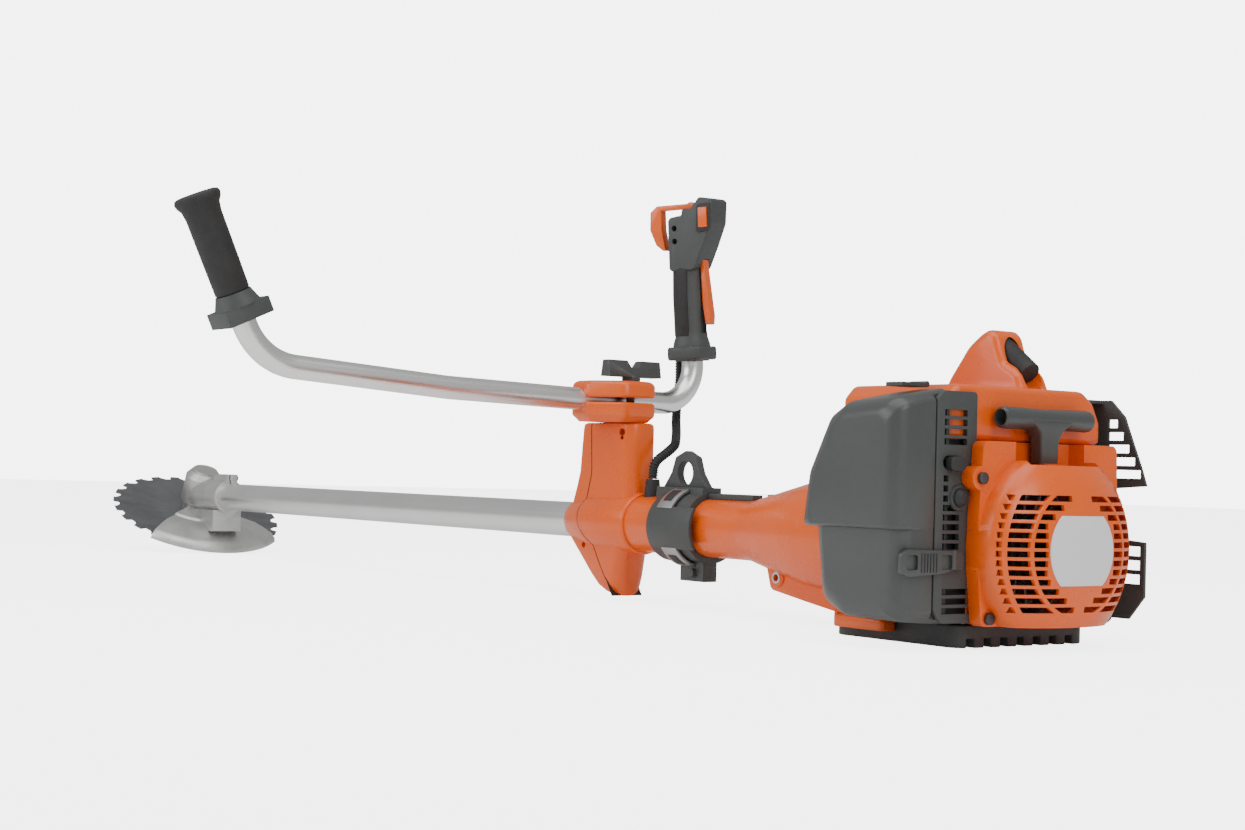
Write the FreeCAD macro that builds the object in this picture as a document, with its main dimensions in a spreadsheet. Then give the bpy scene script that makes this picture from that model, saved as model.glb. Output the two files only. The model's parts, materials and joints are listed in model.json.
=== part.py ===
import FreeCAD, Part
import Sketcher
import math
import os
import re
from FreeCAD import Placement, Rotation, Vector

# Petrol brush cutter with a saw blade and handlebars. Millimetres, +Z up.
# Origin: centre of the foot pad's underside. The crankshaft and the shaft tube run along X,
# the blade is at the -X end, and the air filter is on the -Y side.

os.makedirs("parts", exist_ok=True)
doc = FreeCAD.newDocument("brush_cutter")
sheet = doc.addObject("Spreadsheet::Sheet", "Sizes")

sizes = {
    # overall layout
    "axis_height": 75.0,        # crank and shaft axis above the floor
    "tube_length": 1127.0,
    "tube_radius": 17.5,
    "tube_wall": 1.6,
    "tube_rear": -258.0,        # rear end of the shaft tube, inside the clutch housing
    "tube_setback": 55.0,       # front end of the tube behind the gear apex
    "fit_gap": 0.05,            # radial running clearance
    "part_gap": 0.4,            # clearance between pieces that move past each other
    "gear_tilt": 24.0,          # blade axis leans back from vertical
    # blade and guard
    "blade_radius": 112.5,
    "blade_thick": 2.0,
    "blade_bore": 10.0,
    "blade_drop": 26.0,         # blade plane below the shaft axis, along the blade axis
    "tooth_depth": 8.0,
    "flange_radius": 20.0,
    "guard_margin": 5.5,        # guard rim outside the blade
    "guard_skirt": 3.5,         # guard rim below the blade
    "guard_wall": 2.6,
    "guard_low": 45.0,
    "guard_high": 52.0,
    # gear head
    "head_radius": 24.5,
    "head_top": 36.0,
    "socket_wall": 4.5,
    "socket_length": 95.0,
    "pinion_radius": 9.75,
    "gear_radius": 14.25,
    "shaft_radius": 3.5,
    "spindle_radius": 6.0,
    # engine
    "rear_face": 125.0,
    "starter_front": 66.0,
    "case_front": -50.0,
    "case_rear": 42.0,
    "case_half": 48.0,
    "base_top": 17.0,           # foot pad height
    "web_radius": 26.0,
    "crank_throw": 15.0,
    "crank_radius": 7.5,
    "cylinder_bore": 21.0,
    "cylinder_base": 112.0,
    "cylinder_top": 190.0,
    "fin_width": 74.0,
    "fin_thick": 2.0,
    "rod_length": 55.0,
    "flywheel_radius": 50.0,
    "pulley_radius": 30.0,
    "drum_radius": 35.0,
    "drum_wall": 2.5,
    "cover_top": 198.0,
    "shroud_left": -64.0,       # fan shroud, seen from the rear
    "shroud_right": 72.0,
    "starter_radius": 77.0,
    "starter_face": 92.0,       # flange that the starter's screws go through
    "label_radius": 36.0,
    "rope_plane": 86.0,         # middle of the pulley's groove and of the pull handle
    "seam_height": 156.0,
    "skin": 2.6,                # moulded covers
    "filter_face": -150.0,      # outer face of the filter cover
    "filter_seam": -96.0,
    "guard_face": 101.0,        # outer face of the muffler guard
    # tube housing, harness eye and tower
    "sleeve_radius": 27.0,
    "sleeve_front": -478.0,
    "cone_start": -252.0,
    "cone_rear_radius": 58.0,
    "band_front": -374.0,
    "band_width": 58.0,
    "band_wall": 6.0,
    "eye_radius": 11.5,
    "eye_thick": 8.0,
    "tower_x": -451.0,
    "tower_half": 19.0,
    "tower_top": 172.0,
    # handlebar
    "bar_radius": 11.0,
    "bar_height": 194.4,
    "clamp_left": -46.0,
    "clamp_right": 16.0,
    "knob_height": 217.0,
    "knob_thick": 16.0,
    "knob_half": 31.0,
    "riser_lean": 4.2,          # right end of the handlebar leans in
    "grip_radius": 16.0,
    "left_lean": 24.6,
    "left_grip_length": 88.0,
    "right_grip_length": 83.0,
    "hose_radius": 4.7,
}
for line, (alias, number) in enumerate(sizes.items(), 1):
    sheet.set(f"A{line}", alias)
    sheet.set(f"B{line}", str(number))
    sheet.setAlias(f"B{line}", alias)
doc.recompute()

turns = {
    "x": Rotation(Vector(0, 0, 1), Vector(1, 0, 0)),
    "y": Rotation(Vector(0, 0, 1), Vector(0, 1, 0)),
    "z": Rotation(),
}


def value(expression):
    """Number that an expression of cell names stands for."""
    result = sheet.evalExpression(str(expression))
    return float(getattr(result, "Value", result))


def bind(thing, prop, expression):
    named = re.sub(r"[a-z][a-z_]*", lambda m: "Sizes." + m[0] if m[0] in sizes else m[0], str(expression))
    thing.setExpression(prop, named)


def place(thing, base, rotation=None):
    if rotation:
        thing.Placement = Placement(Vector(), rotation)
    for axis, expression in zip("xyz", base):
        bind(thing, f"Placement.Base.{axis}", expression)
    return thing


def box(name, low, high):
    solid = doc.addObject("Part::Box", name)
    for prop, a, b in zip(("Length", "Width", "Height"), low, high):
        bind(solid, prop, f"({b}) - ({a})")
    return place(solid, low)


def rod(name, radius, start, length, axis="z"):
    solid = doc.addObject("Part::Cylinder", name)
    bind(solid, "Radius", radius)
    bind(solid, "Height", length)
    return place(solid, start, turns[axis])


def cone(name, radius_start, radius_end, start, length, axis="z"):
    solid = doc.addObject("Part::Cone", name)
    bind(solid, "Radius1", radius_start)
    bind(solid, "Radius2", radius_end)
    bind(solid, "Height", length)
    return place(solid, start, turns[axis])


def joined(name, pieces):
    solid = doc.addObject("Part::MultiFuse", name)
    solid.Shapes = pieces
    return solid


def grouped(name, pieces):
    group = doc.addObject("Part::Compound", name)
    group.Links = pieces
    return group


def cut(name, base, tools):
    solid = doc.addObject("Part::Cut", name)
    solid.Base = base
    solid.Tool = tools[0] if len(tools) == 1 else joined(name + "_tools", tools)
    return solid


def shaped(name, shape):
    """Piece whose shape is worked out here from the sheet."""
    piece = doc.addObject("Part::Feature", name)
    piece.Shape = shape
    return piece


def origin_plane(body, role):
    return next(item for item in body.Origin.OriginFeatures if item.Role == role)


def outline_sketch(body, role, points):
    """Closed outline whose corners are bound to the sheet."""
    sketch = body.newObject("Sketcher::SketchObject", body.Name + "_outline")
    sketch.AttachmentSupport = [(origin_plane(body, role), "")]
    sketch.MapMode = "FlatFace"
    corners = [Vector(value(a), value(b), 0) for a, b in points]
    count = len(corners)
    for i in range(count):
        sketch.addGeometry(Part.LineSegment(corners[i], corners[(i + 1) % count]), False)
    for i in range(count):
        sketch.addConstraint(Sketcher.Constraint("Coincident", i, 2, (i + 1) % count, 1))
    for i, pair in enumerate(points):
        for kind, expression, number in zip(("DistanceX", "DistanceY"), pair, corners[i]):
            index = sketch.addConstraint(Sketcher.Constraint(kind, -1, 1, i, 1, number))
            bind(sketch, f"Constraints[{index}]", expression)
    return sketch


def rounded(body, feature, axis, radius):
    """Fillet on the straight edges along an axis."""
    doc.recompute()
    along = Vector(*(1 if letter == axis else 0 for letter in "xyz"))
    names = []
    for number, edge in enumerate(feature.Shape.Edges, 1):
        if edge.Curve.TypeId == "Part::GeomLine" and edge.Curve.Direction.cross(along).Length < 1e-6:
            names.append(f"Edge{number}")
    fillet = body.newObject("PartDesign::Fillet", body.Name + "_fillet")
    fillet.Base = (feature, names)
    bind(fillet, "Radius", radius)
    return fillet


def plate(name, axis, points, low, high, corner=None):
    """Outline padded along an axis from low to high."""
    body = doc.addObject("PartDesign::Body", name)
    role = {"x": "YZ_Plane", "y": "XZ_Plane", "z": "XY_Plane"}[axis]
    sketch = outline_sketch(body, role, points)
    pad = body.newObject("PartDesign::Pad", name + "_pad")
    pad.Profile = sketch
    bind(pad, "Length", f"({high}) - ({low})")
    bind(body, f"Placement.Base.{axis}", high if axis == "y" else low)
    if corner:
        rounded(body, pad, axis, corner)
    return body


def turned(name, points, base, direction=Vector(1, 0, 0), angle=360, roll=0):
    """Outline of (distance along, radius) turned about a direction from a base point."""
    body = doc.addObject("PartDesign::Body", name)
    sketch = outline_sketch(body, "XZ_Plane", points)
    turn = body.newObject("PartDesign::Revolution", name + "_turn")
    turn.Profile = sketch
    turn.ReferenceAxis = (sketch, ["H_Axis"])
    turn.Angle = angle
    turn.Midplane = angle < 360
    rotation = Rotation(Vector(1, 0, 0), direction) * Rotation(Vector(1, 0, 0), roll)
    return place(body, base, rotation)



parts = []


def keep(piece, name=None):
    piece.Label = name or piece.Name
    parts.append(piece)
    return piece


axis = "axis_height"
shaft_line = lambda x: (x, 0, axis)

# ---------------------------------------------------------------- foot, tank and crankcase
foot_half = 70
tank_top = 40
foot = plate("foot_block", "z", [(-70, -72), (70, -72), (70, 72), (-70, 72)], 0, "base_top", corner=14)
treads = [box(f"tread_gap_{i}", (58, -62 + 18 * i, -1), (71, -54 + 18 * i, 7)) for i in range(7)]
keep(cut("foot_pad", foot, treads))

keep(joined("fuel_tank", [
    box("tank_block", (-48, -64, "base_top"), ("case_rear - 0.4", 58, tank_top)),
    rod("tank_neck", 9.5, (-60, 50, 30), 12.5, "x"),
]))
keep(turned("fuel_cap", [(0, 0), (0, 12.5), (13, 12.5), (15, 10.5), (15, 0)], (-60.4, 50, 30), Vector(-1, 0, 0)))
tank_guard = plate("tank_guard", "z", [
    (-110, -33), (-72, -68), (-50, -88), (4, -88), (4, -72.6), (-61.5, -72.6), (-70.6, -64.3), (-70.6, 22), (-110, 22),
], 8, "base_top")

keep(cut("crankcase", joined("crankcase_block", [
    box("case_block", ("case_front", "-case_half", tank_top), ("case_rear", "case_half", "cylinder_base")),
    box("fan_shroud", ("case_rear", "shroud_left", "base_top + 1"), ("starter_front", "shroud_right", "seam_height")),
]), [
    rod("crank_room", "web_radius + 2", (-18, 0, axis), 36, "x"),
    rod("bearing_seat", 20, (-30, 0, axis), 60, "x"),
    rod("shaft_passage", 9, (-60, 0, axis), 130, "x"),
    rod("bore_passage", "cylinder_bore + 1", (0, 0, axis), "cylinder_base - axis_height + 1"),
    rod("fan_room", "flywheel_radius + 3", ("case_rear + 3", 0, axis), 40, "x"),
]))

fins = [box(f"fin_{i}", ("-fin_width / 2", "-fin_width / 2", 122 + 8 * i),
            ("fin_width / 2", "fin_width / 2", f"{122 + 8 * i} + fin_thick")) for i in range(9)]
keep(cut("cylinder", joined("cylinder_block", fins + [
    rod("barrel", "cylinder_bore + 6", (0, 0, "cylinder_base"), "cylinder_top - cylinder_base"),
    box("inlet_port", (-9, -45, 124), (9, 0, 142)),
    box("exhaust_port", (-11, 0, 124), (11, 48.4, 142)),
]), [
    rod("bore", "cylinder_bore", (0, 0, "cylinder_base - 1"), 50),
    rod("inlet_duct", 6, (0, -46, 133), 30, "y"),
    rod("exhaust_duct", 6, (0, 16, 133), 30, "y"),
]))

# ---------------------------------------------------------------- crank train
pin_height = "(axis_height + crank_throw)"
wrist_height = "(axis_height + crank_throw + rod_length)"
piston = cut("piston", rod("piston_block", "cylinder_bore - fit_gap", (0, 0, f"{wrist_height} - 16"), 30), [
    rod("piston_hollow", "cylinder_bore - 3", (0, 0, f"{wrist_height} - 17"), 27),
])
keep(grouped("piston_and_rod", [
    piston,
    cut("rod_forging", joined("rod_block", [
        rod("big_end", 11, (-4.5, 0, pin_height), 9, "x"),
        rod("small_end", 8, (-4.5, 0, wrist_height), 9, "x"),
        box("rod_shank", (-2.5, -5, f"{pin_height} + 8"), (2.5, 5, f"{wrist_height} - 6")),
    ]), [
        rod("big_eye", 6.05, (-6, 0, pin_height), 12, "x"),
        rod("small_eye", 5.05, (-6, 0, wrist_height), 12, "x"),
    ]),
    rod("crank_pin", 6, (-5, 0, pin_height), 10, "x"),
    rod("wrist_pin", 5, ("3 - cylinder_bore", 0, wrist_height), "2 * cylinder_bore - 6", "x"),
]))
keep(joined("crankshaft", [
    rod("rear_web", "web_radius", (5.3, 0, axis), 10, "x"),
    rod("front_web", "web_radius", (-15.3, 0, axis), 10, "x"),
    rod("rear_journal", "crank_radius", (15, 0, axis), 55, "x"),
    rod("front_journal", "crank_radius", (-80, 0, axis), 65, "x"),
]))
engine_bearings = [
    cut(f"bearing_{side}", rod(f"race_{side}", 20, (x, 0, axis), 10, "x"),
        [rod(f"race_bore_{side}", "crank_radius + fit_gap", (x - 1, 0, axis), 12, "x")])
    for side, x in (("rear", 19), ("front", -29))
]
vane_count = 18
vanes = []
for i in range(vane_count):
    vane = doc.addObject("Part::Box", f"vane_{i}")
    bind(vane, "Length", 11)
    bind(vane, "Width", "flywheel_radius - 24")
    bind(vane, "Height", 2)
    turn = Rotation(Vector(1, 0, 0), 360 * i / vane_count)
    vane.Placement = Placement(Vector(52, 0, value(axis)) + turn.multVec(Vector(0, 22, 0)), turn)
    bind(vane, "Placement.Base.z", f"axis_height + {turn.multVec(Vector(0, 22, 0)).z:.4f}")
    vanes.append(vane)
keep(cut("flywheel_fan", joined("flywheel_block", [
    rod("flywheel_disc", "flywheel_radius", (47, 0, axis), 6, "x"),
    rod("flywheel_hub", 23, (47, 0, axis), 16, "x"),
] + vanes), [rod("flywheel_bore", "crank_radius", (46, 0, axis), 20, "x")]))
keep(cut("clutch_shoes", joined("clutch_block", [
    rod("shoe_hub", 15, (-78, 0, axis), 14, "x"),
    cut("shoe_ring", rod("shoe_outer", "drum_radius - 1.2", (-77, 0, axis), 11, "x"), [
        rod("shoe_inner", "drum_radius - 12", (-79, 0, axis), 15, "x"),
        box("shoe_gap_up", (-80, -2, "axis_height + 15"), (-60, 2, "axis_height + 50")),
        box("shoe_gap_down", (-80, -2, "axis_height - 50"), (-60, 2, "axis_height - 15")),
    ]),
    box("shoe_arm", (-76, "1.5 - drum_radius + 2", "axis_height - 4"), (-68, "drum_radius - 3.5", "axis_height + 4")),
]), [rod("shoe_bore", "crank_radius", (-81, 0, axis), 20, "x")]))

# ---------------------------------------------------------------- clutch housing, tube and drive line
housing_sides = [
    ("sleeve_front", 0), ("sleeve_front", "sleeve_radius"), ("cone_start", "sleeve_radius"), (-236, "sleeve_radius + 3"),
    (-165, 46), (-100, 50), ("case_front", 50), ("case_front", 0),
]
arm = plate("housing_arm", "y", [(-226, 52), (-217, 25), (-168, 18), (-110, 8), (-110, "base_top"), (-130, 34)], -13, 13)
keep(cut("clutch_housing", joined("housing_block", [turned("housing_cone", housing_sides, shaft_line(0)), arm,
                                                     tank_guard]), [
    rod("tube_socket", "tube_radius", ("sleeve_front - 1", 0, axis), "tube_rear - sleeve_front + 1", "x"),
    rod("shaft_room", 12, (-262, 0, axis), 150, "x"),
    rod("drum_bearing_seat", 14, (-114, 0, axis), 20, "x"),
    rod("drum_room", "drum_radius + drum_wall + 3", (-97, 0, axis), 50, "x"),
    rod("lug_hole", 3, (-206, -20, 36), 40, "y"),
]))
engine_bearings.append(cut("drum_bearing", rod("drum_race", 14, (-112, 0, axis), 10, "x"),
                           [rod("drum_race_bore", "6 + fit_gap", (-113, 0, axis), 12, "x")]))
keep(cut("clutch_drum", joined("drum_block", [
    rod("drum_cup", "drum_radius + drum_wall", (-84, 0, axis), 20, "x"),
    rod("drum_stub", 6, (-120, 0, axis), 37, "x"),
]), [
    rod("drum_inside", "drum_radius", (-81, 0, axis), 20, "x"),
    rod("drum_socket", "shaft_radius", (-121, 0, axis), 22, "x"),
]))
apex_x = "(tube_rear - tube_length - tube_setback)"
keep(cut("shaft_tube", rod("tube_outer", "tube_radius", (f"{apex_x} + tube_setback", 0, axis), "tube_length", "x"),
         [rod("tube_inner", "tube_radius - tube_wall", (f"{apex_x}", 0, axis), "tube_length + 100", "x")]))
bush_count = 5
bushes = []
for i in range(bush_count):
    start = f"{apex_x} + tube_setback + 60 + {i} * (tube_length - 130) / {bush_count - 1}"
    bushes.append(cut(f"bush_{i}", rod(f"bush_outer_{i}", "tube_radius - tube_wall", (start, 0, axis), 18, "x"),
                      [rod(f"bush_bore_{i}", "shaft_radius + fit_gap", (f"{start} - 1", 0, axis), 20, "x")]))
keep(grouped("shaft_bushes", bushes))

# ---------------------------------------------------------------- gear head, in a frame along the blade axis
tilt = math.radians(value("gear_tilt"))
blade_axis = Vector(math.sin(tilt), 0, math.cos(tilt))
back = Vector(math.cos(tilt), 0, -math.sin(tilt))
apex = Vector(value(apex_x), 0, value(axis))
head_turn = Rotation(back, Vector(0, 1, 0), blade_axis, "ZXY")


def along_blade(distance):
    """Point on the blade axis, above the gear apex."""
    return apex + blade_axis * distance


def spindle_rod(radius, low, high):
    return Part.makeCylinder(radius, high - low, along_blade(low), blade_axis)


def shaft_rod(radius, low, high):
    """Rod on the shaft axis, measured from the gear apex."""
    return Part.makeCylinder(radius, high - low, apex + Vector(low, 0, 0), Vector(1, 0, 0))


pinion_teeth = 13
gear_teeth = 19
cone_distance = math.hypot(
    value("pinion_radius"),
    (value("gear_radius") + value("pinion_radius") * math.sin(tilt)) / math.cos(tilt),
)
module = 2 * value("pinion_radius") / pinion_teeth
face_width = 7.0


def bevel_gear(teeth, pitch_radius, bore, hub, phase):
    """Straight bevel gear on +Z with its apex at the origin."""
    slant = math.asin(pitch_radius / cone_distance)
    addendum, dedendum = 0.8 * module, 1.15 * module
    inner = (cone_distance - face_width) / cone_distance

    def at(height, side, scale):
        radius = pitch_radius + height * math.cos(slant)
        level = cone_distance * math.cos(slant) - height * math.sin(slant)
        return Vector(radius * scale, side * scale, level * scale)

    root_out, root_in = at(-dedendum, 0, 1), at(-dedendum, 0, inner)
    rim = [Vector(bore, 0, root_in.z), root_in, root_out, Vector(hub, 0, root_out.z),
           Vector(hub, 0, root_out.z + 3), Vector(bore, 0, root_out.z + 3)]
    blank = Part.Face(Part.makePolygon(rim + rim[:1])).revolve(Vector(), Vector(0, 0, 1), 360)
    tip, root = 0.62 * module / 2, 1.95 * module / 2
    sections = []
    for scale in (1, inner):
        corners = [at(-dedendum - 0.4, -root, scale), at(addendum, -tip, scale),
                   at(addendum, tip, scale), at(-dedendum - 0.4, root, scale)]
        sections.append(Part.makePolygon(corners + corners[:1]))
    tooth = Part.makeLoft(sections, True, True)
    teeth_around = []
    for i in range(teeth):
        copy = tooth.copy()
        copy.rotate(Vector(), Vector(0, 0, 1), math.degrees(phase) + 360 * i / teeth)
        teeth_around.append(copy)
    return blank.multiFuse(teeth_around).removeSplitter()


def posed(shape, first, third):
    """Shape turned so that its X and Z lie along the given directions, at the apex."""
    turned_shape = shape.copy()
    turned_shape.Placement = Placement(apex, Rotation(first, third.cross(first), third, "ZXY"))
    return turned_shape


pinion = bevel_gear(pinion_teeth, value("pinion_radius"), value("shaft_radius"), 6.5, 0)
driven = bevel_gear(gear_teeth, value("gear_radius"), value("spindle_radius"), 10, math.pi / gear_teeth)
keep(shaped("bevel_pinion", posed(pinion, Vector(0, 0, 1), Vector(1, 0, 0))))
keep(shaped("bevel_wheel", posed(driven, back, blade_axis)))
pinion_back = cone_distance * math.cos(math.asin(value("pinion_radius") / cone_distance)) + 3.8
drive_front = apex.x + 12
keep(rod("drive_shaft", "shaft_radius", (f"{apex_x} + 12", 0, axis), f"-100 - {apex_x} - 12", "x"))
drop = value("blade_drop")
thick = value("blade_thick")
plane_top = -drop + thick / 2
flange = value("flange_radius")
keep(shaped("output_spindle", spindle_rod(value("spindle_radius"), -drop - 12, 28)))
head_bearings = shaped("head_bearings", Part.makeCompound([
    shaft_rod(14, pinion_back + 1, pinion_back + 9).cut(shaft_rod(value("shaft_radius") + 0.05, 0, 60)),
    spindle_rod(14, -14, -7).cut(spindle_rod(value("spindle_radius") + 0.05, -30, 30)),
    spindle_rod(10, 27 - 4, 27).cut(spindle_rod(value("spindle_radius") + 0.05, -30, 30)),
]))
keep(grouped("ball_bearings", engine_bearings + [head_bearings]))
head_radius = value("head_radius")
socket_radius = value("tube_radius") + value("socket_wall")
head_outer = spindle_rod(head_radius - 4, -17, -8).multiFuse([
    Part.makeCylinder(head_radius - 8, value("head_top") + 2.4, apex, blade_axis),
    spindle_rod(head_radius, -8, value("head_top") - 8),
    Part.makeCone(head_radius, head_radius - 6, 8, along_blade(value("head_top") - 8), blade_axis),
    shaft_rod(socket_radius, 0, value("socket_length")),
    Part.makeCylinder(10, 34, apex + back * -34 + blade_axis * -6, back),
    Part.makeBox(88, 40, 28, apex + Vector(0, -20, -46)),
    Part.makeBox(44, 14, 11, apex + Vector(value("socket_length") - 46, -3, socket_radius - 3)),
])
head_inner = spindle_rod(17, -6.5, 27 - 4).multiFuse([
    spindle_rod(14, -14, 10),
    spindle_rod(10, 10, 29),
    spindle_rod(value("spindle_radius") + 1.5, -60, 0),
    shaft_rod(14, 4, value("tube_setback")),
    shaft_rod(value("tube_radius"), value("tube_setback"), 200),
    Part.makeBox(60, 1.6, 30, apex + Vector(value("socket_length") - 50, -0.8, 8)),
    spindle_rod(flange + 60, -80, -17),
])
keep(shaped("gear_housing", head_outer.cut(head_inner)))
screws = [
    Part.makeCylinder(3.6, 6, apex + Vector(value("socket_length") - 15 - 16 * i, 11, socket_radius + 3), Vector(0, 1, 0))
    for i in range(2)
]
drive_flange = spindle_rod(flange, -drop + thick / 2, -18.4).fuse(
    spindle_rod(value("blade_bore") - 0.02, -drop - thick / 2, -19))
blade_nut = spindle_rod(flange - 2, -drop - thick / 2 - 3, -drop - thick / 2).fuse(
    spindle_rod(9, -drop - thick / 2 - 10, -drop - thick / 2 - 3))
keep(shaped("blade_flanges", Part.makeCompound([
    piece.cut(spindle_rod(value("spindle_radius"), -60, 0)) for piece in (drive_flange, blade_nut)
])))

blade = doc.addObject("PartDesign::Body", "saw_blade")
blade_outline = blade.newObject("Sketcher::SketchObject", "blade_outline")
blade_outline.AttachmentSupport = [(origin_plane(blade, "XY_Plane"), "")]
blade_outline.MapMode = "FlatFace"
for number, cell in enumerate(("blade_radius", "blade_bore")):
    blade_outline.addGeometry(Part.Circle(Vector(), Vector(0, 0, 1), value(cell)), False)
    blade_outline.addConstraint(Sketcher.Constraint("Coincident", number, 3, -1, 1))
    index = blade_outline.addConstraint(Sketcher.Constraint("Radius", number, value(cell)))
    bind(blade_outline, f"Constraints[{index}]", cell)
disc = blade.newObject("PartDesign::Pad", "blade_disc")
disc.Profile = blade_outline
bind(disc, "Length", "blade_thick")
doc.recompute()
gullet_corners = [
    ("blade_radius - tooth_depth", -3), ("blade_radius - tooth_depth", 5),
    ("blade_radius - 3", 12), ("blade_radius + 1", 12), ("blade_radius + 1", -5),
]
gullet_outline = outline_sketch(blade, "XY_Plane", gullet_corners)
gullet = blade.newObject("PartDesign::Pocket", "gullet")
gullet.Profile = gullet_outline
gullet.Type = "ThroughAll"
gullet.Midplane = True
teeth = blade.newObject("PartDesign::PolarPattern", "teeth")
teeth.Originals = [gullet]
teeth.Axis = (origin_plane(blade, "Z_Axis"), [""])
teeth.Angle = 360
teeth.Occurrences = 24
blade.Tip = teeth
blade.Placement = Placement(along_blade(-drop - thick / 2), head_turn)
keep(blade)

rim = value("blade_radius") + value("guard_margin")
wall = value("guard_wall")
skirt = drop + value("guard_skirt")
guard_top = [(head_radius - 3.5, -9), (60, -9), (63, -11.5), (84, -11.5), (97, -14.5), (rim - 7, -19), (rim - 1.5, -24.5), (rim, -skirt)]
guard_under = [(radius - wall * 0.9, level - wall * 0.75) for radius, level in reversed(guard_top[1:-1])]
guard_points = [Vector(radius, 0, level) for radius, level in
                guard_top + [(rim - wall, -skirt)] + guard_under + [(head_radius - 3.5, -11.5)]]
sweep = value("guard_low") + value("guard_high")
guard_shape = Part.Face(Part.makePolygon(guard_points + guard_points[:1])).revolve(Vector(), Vector(0, 0, 1), sweep)
guard_shape.rotate(Vector(), Vector(0, 0, 1), -value("guard_high"))
guard_shape.Placement = Placement(apex, head_turn) * guard_shape.Placement
keep(shaped("blade_guard", guard_shape.cut(head_outer)))

# ---------------------------------------------------------------- tower, rail and harness band
seam = [("tower_x - 36.1", "tower_top + 5"), ("tower_x - 33", 122), ("tower_x - 46", 80), ("tower_x + 7.7", 0)]
seal_half = 0.6


def seam_side(offset, backwards=False):
    points = [(f"{x} + {offset}", z) for x, z in seam]
    return points[::-1] if backwards else points


def shared(name, base, region):
    """Part of a body that lies in a region."""
    solid = doc.addObject("Part::Common", name)
    solid.Base = base
    solid.Tool = region
    return solid


tower_solid = cut("tower_solid", joined("tower_body", [
    plate("tower_block", "y", [
        ("tower_x - 55", "tower_top - 3"), ("tower_x - 36", "tower_top"), ("tower_x + 26", "tower_top"),
        ("tower_x + 27", 108), ("tower_x + 31", 100), ("tower_x + 31", 50), ("tower_x + 17", 45), ("tower_x + 15", 30),
        ("tower_x + 12", 8), ("tower_x + 5", 4), ("tower_x - 20", 10), ("tower_x - 78", 64), ("tower_x - 81", 76),
        ("tower_x - 73", 86), ("tower_x - 59", 124),
    ], "-tower_half", "tower_half"),
    rod("tower_boss", "sleeve_radius + 3", ("tower_x - 47", 0, axis), 80, "x"),
    cone("tower_nose", 20, 28, ("tower_x - 79", 0, axis), 32, "x"),
]), [
    rod("tower_bore", "tube_radius", ("tower_x - 140", 0, axis), 220, "x"),
    rod("tower_sleeve_seat", "sleeve_radius", ("sleeve_front", 0, axis), 200, "x"),
    rod("tower_screw_seat", 4.2, ("tower_x + 2", 0, 140), 60),
])
keep(shared("tower_rear", tower_solid, plate("rear_region", "y", seam_side(seal_half) + [
    ("tower_x + 60", 0), ("tower_x + 60", "tower_top + 5"),
], -60, 60)))
keep(shared("tower_front", tower_solid, plate("front_region", "y", seam_side(-seal_half, backwards=True) + [
    ("tower_x - 120", "tower_top + 5"), ("tower_x - 120", 0),
], -60, 60)))
keep(shared("tower_seal", tower_solid, plate(
    "tower_seal_strip", "y", seam_side(-seal_half) + seam_side(seal_half, backwards=True),
    "1 - tower_half", "tower_half - 1")))

rail_top = "(axis_height + sleeve_radius + 5)"
keep(cut("slide_rail", box("rail_block", (-396, -6, "axis_height + sleeve_radius - 4"), (-252, 6, rail_top)),
         [rod("rail_seat", "sleeve_radius", (-400, 0, axis), 200, "x")]))
band_rear = "(band_front + band_width)"
band_bore = rod("band_bore", "sleeve_radius + fit_gap", ("band_front - 15", 0, axis), "band_width + 30", "x")
rail_slot = box("rail_slot", ("band_front - 15", "-6 - part_gap", "axis_height"),
                (f"{band_rear} + 15", "6 + part_gap", f"{rail_top} + part_gap"))
band_ring = joined("band_ring", [
    rod("band_outer", "sleeve_radius + band_wall", ("band_front", 0, axis), "band_width", "x"),
    box("band_saddle", ("band_front - 14", -11, "axis_height + 20"), (f"{band_rear} - 2", 11, f"{rail_top} + 5")),
    box("band_lug", ("band_front + 22", -8, 25), (f"{band_rear} - 2", 8, 46)),
])
keep(grouped("band_clamp", [
    cut("band_body", band_ring, [band_bore, rail_slot,
                                 rod("band_bolt_hole", 4, ("band_front + 42", -30, 33), 60, "y")]),
    rod("band_bolt", 4, ("band_front + 42", -12, 33), 24, "y"),
]))
eye_height = f"({rail_top} + 5 + eye_radius + 1.5)"
eye_x = "(band_front + 20)"
eye_plate = plate("eye_plate", "y", [
    (f"{eye_x} - 32", f"{rail_top} + 5"), (f"{eye_x} + 32", f"{rail_top} + 5"), (f"{eye_x} + 21", eye_height),
    (f"{eye_x} + 15", f"{eye_height} + 15"), (f"{eye_x}", f"{eye_height} + 21"), (f"{eye_x} - 15", f"{eye_height} + 15"),
    (f"{eye_x} - 21", eye_height),
], "-eye_thick / 2", "eye_thick / 2")
keep(cut("harness_eye", eye_plate, [rod("eye_hole", "eye_radius", (eye_x, "-eye_thick", eye_height), "2 * eye_thick", "y")]))

# ---------------------------------------------------------------- handlebar clamp
bar_x = "(tower_x - 19)"
knob_x = "(tower_x + 2)"
bar_hole = ("clamp_left - 1", "clamp_right - clamp_left + 2")
clamp_low = "(tower_top + part_gap)"
clamp_high = "(bar_height + 18)"


def clamp_plate(name, low, high):
    return plate(name, "z", [
        ("tower_x - 36", "clamp_left"), ("tower_x - 6", "clamp_left"), ("tower_x + 27", -24),
        ("tower_x + 27", "clamp_right"), ("tower_x - 36", "clamp_right"),
    ], low, high, corner=5)


def bar_tool(name):
    return rod(name, "bar_radius + fit_gap", (bar_x, bar_hole[0], "bar_height"), bar_hole[1], "y")


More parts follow.
